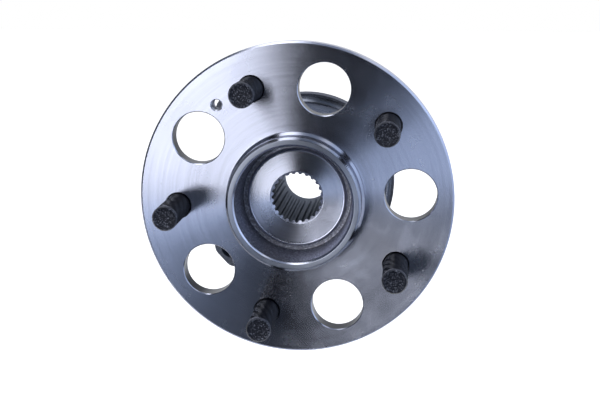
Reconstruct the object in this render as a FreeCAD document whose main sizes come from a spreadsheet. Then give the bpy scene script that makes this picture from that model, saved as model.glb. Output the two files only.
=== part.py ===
"""Wheel hub bearing: a splined hub flange on two rows of angular contact balls in a bolted outer ring.

The hub turns about the Y axis. Depth is measured along +Y from the face that the wheel is clamped to,
so the wheel studs stand out towards -Y and the knuckle lies towards +Y. Sizes are in millimetres.
"""

import FreeCAD, Part
import math
import os
import re

import Sketcher

# Driving dimensions: name, value and meaning
SIZES = [
    ("spline_teeth", 24, "number of teeth in the bore"),
    ("spline_module", 1.0, "module of the spline"),
    ("spline_pressure_angle", 30.0, "pressure angle of the spline"),
    ("spline_tip_height", 0.45, "height of the spline's teeth inside its pitch circle"),
    ("spline_root_depth", 0.4, "depth of the spline's spaces outside its pitch circle"),
    ("spline_entry_step", 0.65, "radial step from the spline out to the bore's mouth at the boss"),
    ("spline_entry_length", 1.3, "length of the bore's mouth at the boss"),
    ("spline_exit_step", 1.2, "radial step from the spline out to the bore's inboard mouth"),
    ("spline_exit_length", 1.6, "length of the bore's inboard mouth"),
    ("ball_diameter", 12.7, "diameter of a ball"),
    ("ball_count", 12, "number of balls in a row"),
    ("ball_clearance", 0.08, "running clearance between a ball and each raceway"),
    ("pitch_radius", 31.5, "radius of the circle of ball centres"),
    ("row_gap", 11.3, "gap along the axis between the balls of the two rows"),
    ("contact_angle", 35.0, "contact angle of the raceways"),
    ("groove_conformity", 0.52, "groove radius as a share of the ball's diameter"),
    ("inner_shoulder_height", 3.15, "height of the high shoulder beside an inner raceway"),
    ("inner_low_height", 0.15, "height of the low side beside an inner raceway"),
    ("outer_land_height", 2.95, "height of the outer ring's land between its raceways"),
    ("outer_relief_height", 0.25, "height of the outer ring's bore outside its raceways"),
    ("cage_inner_width", 2.5, "radial width of a cage inside the ball centres"),
    ("cage_outer_width", 1.7, "radial width of a cage outside the ball centres"),
    ("cage_back_wall", 1.9, "wall of a cage behind its balls"),
    ("cage_reach", 2.6, "how far a cage reaches past the ball centres"),
    ("cage_pocket_clearance", 0.15, "clearance between a ball and its pocket"),
    ("cage_slot_width", 1.4, "width of the slot between two pockets"),
    ("cage_slot_depth", 4.2, "depth of the slot between two pockets"),
    ("inner_ring_wall", 5.3, "wall of the inner ring under its low side"),
    ("inner_ring_overhang", 1.0, "how far the inner ring reaches past the middle of the bearing"),
    ("inner_ring_chamfer", 0.6, "chamfers of the inner ring"),
    ("formed_lip_width", 4.2, "radial width of the spigot end formed over the inner ring"),
    ("formed_lip_length", 4.5, "length of the spigot end formed over the inner ring"),
    ("formed_lip_round", 2.4, "rounding of the formed end"),
    ("seal_seat_step", 0.8, "radial step from the outer ring's bore out to its seal seats"),
    ("seal_seat_lead", 0.5, "lead chamfer of the seal seats"),
    ("outboard_seat_length", 4.2, "length of the outboard seal seat"),
    ("inboard_seat_length", 7.8, "length of the inboard seal seat"),
    ("outboard_seal_gap", 0.45, "gap along the axis from the outboard balls to their seal seat"),
    ("inboard_seal_gap", 0.85, "gap along the axis from the inboard balls to their seal seat"),
    ("seal_case_wall", 0.8, "sheet thickness of the seal cases"),
    ("seal_case_inset", 0.6, "how far a seal case lies inside the outer ring"),
    ("seal_case_gap", 1.9, "radial gap from a lip's land to the seal case"),
    ("lip_wall", 0.8, "thickness of a seal lip at its tip"),
    ("lip_body_gap", 0.9, "radial gap from a lip's land to the seal's body"),
    ("lip_clearance", 0.1, "running clearance of a seal lip"),
    ("slinger_wall", 0.8, "sheet thickness of the slinger"),
    ("slinger_gap", 1.2, "radial gap from the slinger to the seal seat"),
    ("slinger_sleeve", 5.0, "length of the slinger's pressed sleeve"),
    ("slinger_depth", 2.0, "how far the slinger lies inside the outer ring"),
    ("encoder_inner_gap", 0.9, "radial gap from the slinger's sleeve to the encoder ring"),
    ("encoder_thickness", 1.2, "thickness of the magnetic encoder ring"),
    ("body_wall", 3.4, "wall of the outer ring's body over the seal seats"),
    ("body_chamfer", 1.0, "chamfer of the body's wheel end"),
    ("body_fillet", 3.0, "fillet between the body and the knuckle flange"),
    ("knuckle_flange_rim", 0.6, "flat between that fillet and the knuckle flange's chamfer"),
    ("knuckle_flange_thickness", 11.0, "thickness of the knuckle flange"),
    ("knuckle_flange_chamfer", 0.7, "chamfer round the knuckle flange"),
    ("knuckle_pilot_wall", 3.1, "wall of the knuckle pilot over the seal seat"),
    ("knuckle_pilot_length", 5.5, "length of the pilot that fits the knuckle"),
    ("knuckle_pilot_lead", 1.2, "lead chamfer of the knuckle pilot"),
    ("knuckle_bolt_radius", 5.25, "radius of the tapped knuckle bolt holes"),
    ("knuckle_bolt_offset", 7.9, "distance from the knuckle flange's rim out to the bolt holes"),
    ("knuckle_bolt_chamfer", 0.6, "chamfer of the knuckle bolt holes"),
    ("ear_count", 4, "number of bolt ears"),
    ("ear_angle", 42.5, "angle of the first bolt ear"),
    ("ear_end_wall", 2.05, "wall of an ear outside its bolt hole"),
    ("ear_side_wall", 3.0, "wall of an ear's end beside its bolt hole"),
    ("ear_end_shift", 1.2, "sideways shift of an ear's end from its bolt hole"),
    ("ear_taper", 4.25, "how much wider each side of an ear is at its root"),
    ("ear_corner_radius", 4.0, "rounding of an ear's corners"),
    ("ear_side_fillet", 5.0, "fillet between an ear and the knuckle flange"),
    ("flange_thickness", 9.0, "thickness of the wheel flange"),
    ("flange_edge_width", 18.35, "distance from the stud circle to the wheel flange's rim"),
    ("flange_front_chamfer", 1.0, "chamfer round the flange's wheel side"),
    ("flange_back_chamfer", 0.8, "chamfer round the flange's bearing side"),
    ("root_height", 1.8, "height of the raised root behind the flange"),
    ("root_slope", 4.0, "radial run of the slope from the root down to the flange"),
    ("root_inset", 1.4, "how far the root's rim lies inside the seal seat's radius"),
    ("outer_ring_gap", 5.2, "gap between the root and the outer ring"),
    ("seal_land_step", 2.2, "radial step from the inner shoulder out to the outboard seal's land"),
    ("seal_land_fillet", 3.0, "fillet between the seal land and the root face"),
    ("seal_land_inset", 0.8, "how far the seal land ends before the seal seat does"),
    ("stud_count", 5, "number of wheel studs and of access holes"),
    ("stud_angle", 39.7, "angle of the first wheel stud"),
    ("stud_length", 30.5, "how far a stud stands out of the flange"),
    ("stud_thread_radius", 5.9, "outer radius of the stud's threaded stem"),
    ("stud_shoulder_step", 0.35, "radial step from the stem out to the stud's pressed shoulder"),
    ("stud_hole_chamfer", 0.3, "chamfer of the stud holes"),
    ("stud_head_width", 2.55, "radial width of the stud's head outside its shoulder"),
    ("stud_head_height", 3.2, "height of the stud's head"),
    ("stud_head_round", 1.0, "rounding of the stud's head"),
    ("stud_head_gap", 7.35, "gap between the root's slope and the stud heads"),
    ("stud_tip_chamfer", 1.1, "chamfer of the stud's tip"),
    ("stud_tip_rim", 0.8, "width of the flat rim round the hollow in the stud's tip"),
    ("stud_cup_depth", 0.8, "depth of the hollow in the stud's tip"),
    ("access_hole_radius", 12.5, "radius of the socket access holes"),
    ("access_hole_gap", 1.5, "gap between the root's slope and the access holes"),
    ("access_hole_chamfer", 0.4, "chamfer of the access holes"),
    ("rotor_screw_radius", 2.5, "radius of the tapped rotor screw hole"),
    ("rotor_screw_offset", 3.9, "distance of the rotor screw hole outside the access circle"),
    ("rotor_screw_chamfer", 0.6, "chamfer of the rotor screw hole"),
    ("pilot_radius", 32.0, "radius of the pilot that centres the wheel"),
    ("pilot_height", 12.0, "height of the pilot above the flange"),
    ("pilot_lead_width", 1.2, "radial width of the pilot's lead chamfer"),
    ("pilot_lead_length", 0.9, "length of the pilot's lead chamfer"),
    ("rotor_step_width", 1.3, "radial width of the step that centres the brake rotor"),
    ("rotor_step_height", 3.4, "height of the rotor step"),
    ("rotor_step_chamfer", 0.7, "chamfer of the rotor step"),
    ("pilot_wall", 4.3, "wall of the pilot at its rim"),
    ("recess_mouth_chamfer", 1.0, "chamfer inside the pilot's rim"),
    ("recess_draft", 1.3, "how much narrower the forged recess is at its floor"),
    ("recess_fillet", 0.8, "fillets at the recess floor"),
    ("recess_floor_width", 2.4, "width of the recess floor round the boss"),
    ("boss_face_depth", 6.2, "depth of the boss face that the axle nut is tightened on"),
    ("boss_height", 2.2, "height of the boss above the recess floor"),
    ("boss_edge_round", 0.9, "rounding of the boss face"),
]

# Sizes that follow from the driving ones
WORKED_OUT = {
    "ball_radius": "ball_diameter / 2",
    "groove_radius": "groove_conformity * ball_diameter",
    "groove_shift": "groove_radius - ball_radius - ball_clearance",
    "shift_across": "groove_shift * cos(contact_angle)",
    "shift_along": "groove_shift * sin(contact_angle)",
    "inner_groove_circle": "pitch_radius + shift_across",
    "outer_groove_circle": "pitch_radius - shift_across",
    "inner_shoulder_radius": "pitch_radius - ball_radius + inner_shoulder_height",
    "inner_low_radius": "pitch_radius - ball_radius + inner_low_height",
    "outer_land_radius": "pitch_radius + ball_radius - outer_land_height",
    "outer_relief_radius": "pitch_radius + ball_radius - outer_relief_height",
    "shoulder_reach": "sqrt(groove_radius ^ 2 - (inner_groove_circle - inner_shoulder_radius) ^ 2)",
    "low_reach": "sqrt(groove_radius ^ 2 - (inner_groove_circle - inner_low_radius) ^ 2)",
    "land_reach": "sqrt(groove_radius ^ 2 - (outer_land_radius - outer_groove_circle) ^ 2)",
    "relief_reach": "sqrt(groove_radius ^ 2 - (outer_relief_radius - outer_groove_circle) ^ 2)",
    "cage_inner_radius": "pitch_radius - cage_inner_width",
    "cage_outer_radius": "pitch_radius + cage_outer_width",
    "pocket_radius": "ball_radius + cage_pocket_clearance",
    "seal_seat_radius": "outer_relief_radius + seal_seat_step",
    "seal_land_radius": "inner_shoulder_radius + seal_land_step",
    "slinger_sleeve_radius": "inner_shoulder_radius + slinger_wall",
    "slinger_radius": "seal_seat_radius - slinger_gap",
    "encoder_inner_radius": "slinger_sleeve_radius + encoder_inner_gap",
    "body_radius": "seal_seat_radius + body_wall",
    "knuckle_pilot_radius": "seal_seat_radius + knuckle_pilot_wall",
    "knuckle_fillet_radius": "body_radius + body_fillet",
    "knuckle_flange_radius": "knuckle_fillet_radius + knuckle_flange_rim + knuckle_flange_chamfer",
    "knuckle_bolt_circle": "knuckle_flange_radius + knuckle_bolt_offset",
    "ear_end_radius": "knuckle_bolt_circle + knuckle_bolt_radius + ear_end_wall",
    "ear_half_width": "knuckle_bolt_radius + ear_side_wall",
    "root_face_radius": "seal_seat_radius - root_inset",
    "root_foot_radius": "root_face_radius + root_slope",
    "spigot_radius": "inner_low_radius - inner_ring_wall",
    "formed_lip_radius": "spigot_radius + formed_lip_width",
    "spline_pitch_radius": "spline_module * spline_teeth / 2",
    "spline_base_radius": "spline_pitch_radius * cos(spline_pressure_angle)",
    "spline_minor_radius": "spline_pitch_radius - spline_tip_height",
    "spline_major_radius": "spline_pitch_radius + spline_root_depth",
    "spline_entry_radius": "spline_major_radius + spline_entry_step",
    "spline_exit_radius": "spline_major_radius + spline_exit_step",
    "rotor_step_radius": "pilot_radius + rotor_step_width",
    "recess_mouth_radius": "pilot_radius - pilot_wall",
    "recess_floor_radius": "recess_mouth_radius - recess_draft",
    "boss_radius": "recess_floor_radius - recess_floor_width",
    "stud_shoulder_radius": "stud_thread_radius + stud_shoulder_step",
    "stud_head_radius": "stud_shoulder_radius + stud_head_width",
    "stud_cup_radius": "stud_thread_radius - stud_tip_chamfer - stud_tip_rim",
    "stud_circle": "root_foot_radius + stud_head_gap + stud_head_radius",
    "access_circle": "root_foot_radius + access_hole_gap + access_hole_radius",
    "rotor_screw_circle": "access_circle + rotor_screw_offset",
    "flange_radius": "stud_circle + flange_edge_width",
    "recess_depth": "boss_face_depth + boss_height",
    "root_face_depth": "flange_thickness + root_height",
    "outer_ring_start": "root_face_depth + outer_ring_gap",
    "outboard_seat_end": "outer_ring_start + outboard_seat_length",
    "seal_land_end": "outboard_seat_end - seal_land_inset",
    "outboard_row_depth": "outboard_seat_end + outboard_seal_gap + ball_radius",
    "inboard_row_depth": "outboard_row_depth + ball_diameter + row_gap",
    "inboard_seat_start": "inboard_row_depth + ball_radius + inboard_seal_gap",
    "outer_ring_end": "inboard_seat_start + inboard_seat_length",
    "spigot_start": "(outboard_row_depth + inboard_row_depth) / 2 + inner_ring_overhang",
    "inner_ring_end": "outer_ring_end - slinger_depth",
    "slinger_face": "inner_ring_end - slinger_wall",
    "hub_end": "inner_ring_end + formed_lip_length",
    "knuckle_face_depth": "outer_ring_end - knuckle_pilot_length",
    "knuckle_flange_front": "knuckle_face_depth - knuckle_flange_thickness",
}

# The two ball rows lie each side of the bearing's middle, and this is their way out of it
OUTWARD = {"outboard": "-1", "inboard": "1"}

# The way that an outline's arc bends on its way to the next corner
LEFT = 1
RIGHT = -1

# Two sizes closer than this count as the same
SAME_SIZE = 1e-4

doc = FreeCAD.newDocument("wheel_hub_bearing")
sheet = doc.addObject("Spreadsheet::Sheet", "Sizes")
for line, (name, size, meaning) in enumerate(SIZES, start=1):
    sheet.set(f"A{line}", name)
    sheet.set(f"B{line}", str(size))
    sheet.set(f"C{line}", meaning)
    sheet.setAlias(f"B{line}", name)
doc.recompute()

SHEET_NAMES = {name for name, _, _ in SIZES}


def formula(text):
    """A formula in size names, written with references to the sheet."""

    def reference(word):
        if word[0] in WORKED_OUT:
            return f"({formula(WORKED_OUT[word[0]])})"
        if word[0] in SHEET_NAMES:
            return f"Sizes.{word[0]}"
        return word[0]

    return re.sub(r"[a-z_]+", reference, text)


def value(text):
    """The number that a formula gives now."""
    return float(sheet.evalExpression(formula(text)))


def origin_feature(body, role):
    """One of a body's own origin planes or axes."""
    return next(feature for feature in body.Origin.OriginFeatures if feature.Role == role)


def new_body(label):
    """An empty body whose label names its file."""
    body = doc.addObject("PartDesign::Body", label)
    body.Label = label
    return body


def new_sketch(body, name, role, depth="0", angle="0"):
    """An empty sketch on an origin plane, moved to a depth and turned about the plane's normal."""
    sketch = body.newObject("Sketcher::SketchObject", name)
    sketch.AttachmentSupport = [(origin_feature(body, role), "")]
    sketch.MapMode = "FlatFace"
    sketch.setExpression("AttachmentOffset.Base.z", formula(f"-({depth})"))
    sketch.setExpression("AttachmentOffset.Rotation.Angle", formula(angle))
    return sketch


def hold_point(sketch, edge, end, across, along):
    """Tie a point of a sketch to formulas for its two coordinates."""
    axes = (("DistanceX", across, -2, "across"), ("DistanceY", along, -1, "along"))
    for kind, text, axis, word in axes:
        if text == "0":
            sketch.addConstraint(Sketcher.Constraint("PointOnObject", edge, end, axis))
            continue
        held = sketch.addConstraint(Sketcher.Constraint(kind, -1, 1, edge, end, value(text)))
        sketch.renameConstraint(held, f"{word}_{edge}")
        sketch.setExpression(f"Constraints.{word}_{edge}", formula(text))


def arc_between(start, end, radius, turn):
    """The short arc from start to end that bends to the left or to the right."""
    chord = end - start
    rise = math.sqrt(radius**2 - chord.Length**2 / 4)
    left = FreeCAD.Vector(-chord.y, chord.x, 0).normalize()
    centre = (start + end) / 2 + left * (turn * rise)
    first, last = (start, end) if turn == LEFT else (end, start)
    angles = [math.atan2(point.y - centre.y, point.x - centre.x) for point in (first, last)]
    circle = Part.Circle(centre, FreeCAD.Vector(0, 0, 1), radius)
    return Part.ArcOfCircle(circle, angles[0], angles[1])


def draw_outline(sketch, corners):
    """Draw a closed outline and tie it to the sheet.

    A corner is a pair of formulas. Two more entries, a radius and a turn, make the edge
    that leaves the corner an arc.
    """
    points = [FreeCAD.Vector(value(corner[0]), value(corner[1]), 0) for corner in corners]
    heads = []
    for index, corner in enumerate(corners):
        start, end = points[index], points[(index + 1) % len(points)]
        if len(corner) == 2:
            sketch.addGeometry(Part.LineSegment(start, end), False)
            heads.append(1)
            continue
        radius, turn = corner[2:]
        sketch.addGeometry(arc_between(start, end, value(radius), turn), False)
        heads.append(1 if turn == LEFT else 2)
    for index, corner in enumerate(corners):
        following = (index + 1) % len(corners)
        tail = 3 - heads[index]
        sketch.addConstraint(
            Sketcher.Constraint("Coincident", index, tail, following, heads[following])
        )
    for index, corner in enumerate(corners):
        hold_point(sketch, index, heads[index], corner[0], corner[1])
        if len(corner) > 2:
            held = sketch.addConstraint(Sketcher.Constraint("Radius", index, value(corner[2])))
            sketch.renameConstraint(held, f"radius_{index}")
            sketch.setExpression(f"Constraints.radius_{index}", formula(corner[2]))


def revolved(label, corners):
    """A body turned from a profile of radii and depths."""
    body = new_body(label)
    sketch = new_sketch(body, f"{label}_profile", "XY_Plane")
    draw_outline(sketch, corners)
    turned = body.newObject("PartDesign::Revolution", f"{label}_turned")
    turned.Profile = (sketch, [""])
    turned.ReferenceAxis = (sketch, ["V_Axis"])
    turned.Angle = 360
    doc.recompute()
    return body


def patterned(body, feature, name, count):
    """Repeat a feature evenly round the hub's axis."""
    pattern = body.newObject("PartDesign::PolarPattern", name)
    pattern.Originals = [feature]
    pattern.Axis = (origin_feature(body, "Y_Axis"), [""])
    pattern.Angle = 360
    pattern.setExpression("Occurrences", formula(count))
    body.Tip = pattern
    doc.recompute()
    return pattern


def must_cut(body, before, name):
    """Stop the build if a cut took nothing away."""
    if body.Shape.Volume >= before - SAME_SIZE:
        raise RuntimeError(f"{name} removed no material")


def cut_through(body, sketch, name):
    """Cut a sketch through everything behind its plane."""
    before = body.Shape.Volume
    pocket = body.newObject("PartDesign::Pocket", name)
    pocket.Profile = (sketch, [""])
    pocket.Type = "ThroughAll"
    doc.recompute()
    must_cut(body, before, name)
    return pocket


def drilled(body, name, distance, radius, angle):
    """A round hole along the axis, through all that lies behind the wheel face."""
    sketch = new_sketch(body, f"{name}_circle", "XZ_Plane", angle=angle)
    centre = FreeCAD.Vector(value(distance), 0, 0)
    sketch.addGeometry(Part.Circle(centre, FreeCAD.Vector(0, 0, 1), value(radius)), False)
    hold_point(sketch, 0, 3, distance, "0")
    held = sketch.addConstraint(Sketcher.Constraint("Radius", 0, value(radius)))
    sketch.renameConstraint(held, "radius")
    sketch.setExpression("Constraints.radius", formula(radius))
    return cut_through(body, sketch, name)


def round_edges(feature, radius, depth):
    """The names of a feature's circular edges of one radius, centred at one depth."""
    found = []
    for number, edge in enumerate(feature.Shape.Edges, start=1):
        curve = edge.Curve
        if not isinstance(curve, Part.Circle):
            continue
        same_radius = abs(curve.Radius - value(radius)) < SAME_SIZE
        same_depth = abs(curve.Center.y - value(depth)) < SAME_SIZE
        if same_radius and same_depth:
            found.append(f"Edge{number}")
    return found


def chamfered(body, name, size, rims):
    """Chamfer the round edges given as pairs of a radius and a depth."""
    base = body.Tip
    edges = [edge for radius, depth in rims for edge in round_edges(base, radius, depth)]
    chamfer = body.newObject("PartDesign::Chamfer", name)
    chamfer.Base = (base, edges)
    chamfer.setExpression("Size", formula(size))
    body.Tip = chamfer
    doc.recompute()
    return chamfer


def row_depth(row, offset):
    """A depth measured outwards from the ball centres of a row."""
    return f"{row}_row_depth + {OUTWARD[row]} * ({offset})"


def inner_raceway(row):
    """The depths at which a row's inner groove meets its high shoulder and its low side."""
    shoulder = row_depth(row, "shoulder_reach - shift_along")
    low_side = row_depth(row, "-low_reach - shift_along")
    return shoulder, low_side


def outer_raceway(row):
    """The depths at which a row's outer groove meets its relief and the land between the rows."""
    relief = row_depth(row, "relief_reach + shift_along")
    land = row_depth(row, "shift_along - land_reach")
    return relief, land


# Hub flange


def hub_profile():
    """Half section of the hub from the mouth of its bore round to the boss face."""
    shoulder, low_side = inner_raceway("outboard")
    bore = [
        ("spline_entry_radius", "boss_face_depth"),
        ("spline_minor_radius", "boss_face_depth + spline_entry_length"),
        ("spline_minor_radius", "hub_end - spline_exit_length"),
        ("spline_exit_radius", "hub_end"),
    ]
    spigot = [
        ("formed_lip_radius - formed_lip_round", "hub_end", "formed_lip_round", RIGHT),
        ("formed_lip_radius", "hub_end - formed_lip_round"),
        ("formed_lip_radius", "inner_ring_end"),
        ("spigot_radius", "inner_ring_end"),
        ("spigot_radius", "spigot_start"),
        ("inner_low_radius", "spigot_start"),
    ]
    raceway = [
        ("inner_low_radius", low_side, "groove_radius", LEFT),
        ("inner_shoulder_radius", shoulder),
        ("inner_shoulder_radius", "seal_land_end"),
        ("seal_land_radius", "seal_land_end"),
        ("seal_land_radius", "root_face_depth + seal_land_fillet", "seal_land_fillet", LEFT),
        ("seal_land_radius + seal_land_fillet", "root_face_depth"),
    ]
    flange = [
        ("root_face_radius", "root_face_depth"),
        ("root_foot_radius", "flange_thickness"),
        ("flange_radius - flange_back_chamfer", "flange_thickness"),
        ("flange_radius", "flange_thickness - flange_back_chamfer"),
        ("flange_radius", "flange_front_chamfer"),
        ("flange_radius - flange_front_chamfer", "0"),
    ]
    pilot = [
        ("rotor_step_radius", "0"),
        ("rotor_step_radius", "rotor_step_chamfer - rotor_step_height"),
        ("rotor_step_radius - rotor_step_chamfer", "-rotor_step_height"),
        ("pilot_radius", "-rotor_step_height"),
        ("pilot_radius", "pilot_lead_length - pilot_height"),
        ("pilot_radius - pilot_lead_width", "-pilot_height"),
        ("recess_mouth_radius + recess_mouth_chamfer", "-pilot_height"),
        ("recess_mouth_radius", "recess_mouth_chamfer - pilot_height"),
    ]
    recess = [
        ("recess_floor_radius", "recess_depth - recess_fillet", "recess_fillet", LEFT),
        ("recess_floor_radius - recess_fillet", "recess_depth"),
        ("boss_radius + recess_fillet", "recess_depth", "recess_fillet", LEFT),
        ("boss_radius", "recess_depth - recess_fillet"),
        ("boss_radius", "boss_face_depth + boss_edge_round", "boss_edge_round", RIGHT),
        ("boss_radius - boss_edge_round", "boss_face_depth"),
    ]
    return bore + spigot + raceway + flange + pilot + recess


def space_half_angle(radius):
    """Half the angle of a spline space at a radius, from the involute of the base circle."""
    roll = f"acos(spline_base_radius / ({radius}))"
    start = "spline_pressure_angle * 1 deg"
    involute_here = f"(tan({roll}) - {roll} / 1 rad)"
    involute_at_pitch = f"(tan({start}) - {start} / 1 rad)"
    return f"90 / spline_teeth + 180 / pi * ({involute_at_pitch} - {involute_here})"


def polar(radius, angle, side):
    """A point at a radius and an angle, above the axis for side 1 and below it for side -1."""
    return f"({radius}) * cos({angle})", f"{side} * ({radius}) * sin({angle})"


def spline_space():
    """One space between two spline teeth, open towards the bore."""
    flank = "spline_base_radius * tan(spline_pressure_angle)"
    tip = space_half_angle("spline_minor_radius")
    root = space_half_angle("spline_major_radius")
    mouth = "spline_minor_radius - spline_module / 2"
    return [
        polar(mouth, tip, "-1"),
        (*polar("spline_minor_radius", tip, "-1"), flank, LEFT),
        (*polar("spline_major_radius", root, "-1"), "spline_major_radius", LEFT),
        (*polar("spline_major_radius", root, "1"), flank, LEFT),
        polar("spline_minor_radius", tip, "1"),
        polar(mouth, tip, "1"),
    ]


def hub_flange():
    """The hub: wheel flange, pilot, nut boss, outboard raceway, spigot and splined bore."""
    body = revolved("hub_flange", hub_profile())
    space = new_sketch(body, "spline_space", "XZ_Plane", depth="boss_face_depth")
    draw_outline(space, spline_space())
    cut = cut_through(body, space, "spline_cut")
    patterned(body, cut, "spline", "spline_teeth")
    stud_hole = drilled(body, "stud_hole", "stud_circle", "stud_shoulder_radius", "stud_angle")
    patterned(body, stud_hole, "stud_holes", "stud_count")
    access_angle = "stud_angle - 180 / stud_count"
    access = drilled(body, "access_hole", "access_circle", "access_hole_radius", access_angle)
    patterned(body, access, "access_holes", "stud_count")
    # The rotor screw lies halfway from the second stud to the access hole that follows it
    screw_angle = "stud_angle + 1.25 * 360 / stud_count"
    body.Tip = drilled(
        body, "rotor_screw_hole", "rotor_screw_circle", "rotor_screw_radius", screw_angle
    )
    chamfered(body, "stud_hole_mouths", "stud_hole_chamfer", [("stud_shoulder_radius", "0")])
    chamfered(
        body,
        "access_hole_mouths",
        "access_hole_chamfer",
        [("access_hole_radius", "0"), ("access_hole_radius", "flange_thickness")],
    )
    chamfered(body, "rotor_screw_mouth", "rotor_screw_chamfer", [("rotor_screw_radius", "0")])
    return body


# Wheel studs


def wheel_stud(number):
    """A pressed wheel stud: head behind the flange, shoulder in it and a stem with a cupped tip."""
    head_end = "flange_thickness + stud_head_height"
    body = revolved(
        f"wheel_stud_{number}",
        [
            ("0", "stud_cup_depth - stud_length"),
            ("0", head_end),
            ("stud_head_radius - stud_head_round", head_end, "stud_head_round", RIGHT),
            ("stud_head_radius", f"{head_end} - stud_head_round"),
            ("stud_head_radius", "flange_thickness"),
            ("stud_shoulder_radius", "flange_thickness"),
            ("stud_shoulder_radius", "0"),
            ("stud_thread_radius", "0"),
            ("stud_thread_radius", "stud_tip_chamfer - stud_length"),
            ("stud_thread_radius - stud_tip_chamfer", "-stud_length"),
            ("stud_cup_radius", "-stud_length"),
        ],
    )
    angle = f"(stud_angle + {number - 1} * 360 / stud_count)"
    body.setExpression("Placement.Base.x", formula(f"stud_circle * cos({angle})"))
    body.setExpression("Placement.Base.z", formula(f"stud_circle * sin({angle})"))
    return body


# Outer ring


def outer_ring_profile():
    """Half section of the outer ring from its outboard seal seat round to its body."""
    outboard_relief, outboard_land = outer_raceway("outboard")
    inboard_relief, inboard_land = outer_raceway("inboard")
    bore = [
        ("seal_seat_radius + seal_seat_lead", "outer_ring_start"),
        ("seal_seat_radius", "outer_ring_start + seal_seat_lead"),
        ("seal_seat_radius", "outboard_seat_end"),
        ("outer_relief_radius", "outboard_seat_end"),
        ("outer_relief_radius", outboard_relief, "groove_radius", LEFT),
        ("outer_land_radius", outboard_land),
        ("outer_land_radius", inboard_land, "groove_radius", LEFT),
        ("outer_relief_radius", inboard_relief),
        ("outer_relief_radius", "inboard_seat_start"),
        ("seal_seat_radius", "inboard_seat_start"),
        ("seal_seat_radius", "outer_ring_end - seal_seat_lead"),
        ("seal_seat_radius + seal_seat_lead", "outer_ring_end"),
    ]
    outside = [
        ("knuckle_pilot_radius - knuckle_pilot_lead", "outer_ring_end"),
        ("knuckle_pilot_radius", "outer_ring_end - knuckle_pilot_lead"),
        ("knuckle_pilot_radius", "knuckle_face_depth"),
        ("knuckle_flange_radius - knuckle_flange_chamfer", "knuckle_face_depth"),
        ("knuckle_flange_radius", "knuckle_face_depth - knuckle_flange_chamfer"),
        ("knuckle_flange_radius", "knuckle_flange_front + knuckle_flange_chamfer"),
        ("knuckle_flange_radius - knuckle_flange_chamfer", "knuckle_flange_front"),
        ("knuckle_fillet_radius", "knuckle_flange_front", "body_fillet", LEFT),
        ("body_radius", "knuckle_flange_front - body_fillet"),
        ("body_radius", "outer_ring_start + body_chamfer"),
        ("body_radius - body_chamfer", "outer_ring_start"),
    ]
    return bore + outside


def ear_outline():
    """A bolt ear that tapers from the body to a flat end with rounded corners."""
    root = "(body_radius + seal_seat_radius) / 2"
    end = "ear_end_radius"
    corner = "ear_corner_radius"
    half_root = "(ear_half_width + ear_taper)"
    low_side = "ear_end_shift - ear_half_width"
    high_side = "ear_end_shift + ear_half_width"
    return [
        (root, f"-{half_root}"),
        (f"{end} - {corner}", low_side, corner, LEFT),
        (end, f"{low_side} + {corner}"),
        (end, f"{high_side} - {corner}", corner, LEFT),
        (f"{end} - {corner}", high_side),
        (root, half_root),
    ]


def ear_side_edges(feature):
    """The edges along the axis where the ears meet the round knuckle flange."""
    found = []
    for number, edge in enumerate(feature.Shape.Edges, start=1):
        if not isinstance(edge.Curve, Part.Line):
            continue
        first, last = edge.Vertexes[0].Point, edge.Vertexes[-1].Point
        along_axis = math.hypot(first.x - last.x, first.z - last.z) < SAME_SIZE
        distance = math.hypot(first.x, first.z)
        if along_axis and abs(distance - value("knuckle_flange_radius")) < SAME_SIZE:
            found.append(f"Edge{number}")
    return found


def outer_ring():
    """The fixed ring: two raceways, two seal seats and a knuckle flange with four tapped ears."""
    body = revolved("outer_ring", outer_ring_profile())
    sketch = new_sketch(body, "ear_outline", "XZ_Plane", "knuckle_face_depth", "ear_angle")
    draw_outline(sketch, ear_outline())
    ear = body.newObject("PartDesign::Pad", "ear")
    ear.Profile = (sketch, [""])
    ear.setExpression("Length", formula("knuckle_flange_thickness"))
    doc.recompute()
    ears = patterned(body, ear, "ears", "ear_count")
    blend = body.newObject("PartDesign::Fillet", "ear_side_blends")
    blend.Base = (ears, ear_side_edges(ears))
    blend.setExpression("Radius", formula("ear_side_fillet"))
    body.Tip = blend
    doc.recompute()
    bolt_hole = drilled(
        body, "knuckle_bolt_hole", "knuckle_bolt_circle", "knuckle_bolt_radius", "ear_angle"
    )
    patterned(body, bolt_hole, "knuckle_bolt_holes", "ear_count")
    chamfered(
        body,
        "knuckle_bolt_mouths",
        "knuckle_bolt_chamfer",
        [
            ("knuckle_bolt_radius", "knuckle_flange_front"),
            ("knuckle_bolt_radius", "knuckle_face_depth"),
        ],
    )
    return body


# Inner ring


def inner_ring():
    """The separate inboard raceway, pressed on the hub's spigot and held by its formed end."""
    shoulder, low_side = inner_raceway("inboard")
    return revolved(
        "inner_ring",
        [
            ("spigot_radius + inner_ring_chamfer", "spigot_start"),
            ("spigot_radius", "spigot_start + inner_ring_chamfer"),
            ("spigot_radius", "inner_ring_end - inner_ring_chamfer"),
            ("spigot_radius + inner_ring_chamfer", "inner_ring_end"),
            ("inner_shoulder_radius - inner_ring_chamfer", "inner_ring_end"),
            ("inner_shoulder_radius", "inner_ring_end - inner_ring_chamfer"),
            ("inner_shoulder_radius", shoulder, "groove_radius", LEFT),
            ("inner_low_radius", low_side),
            ("inner_low_radius", "spigot_start"),
        ],
    )


# Balls and cages


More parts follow.
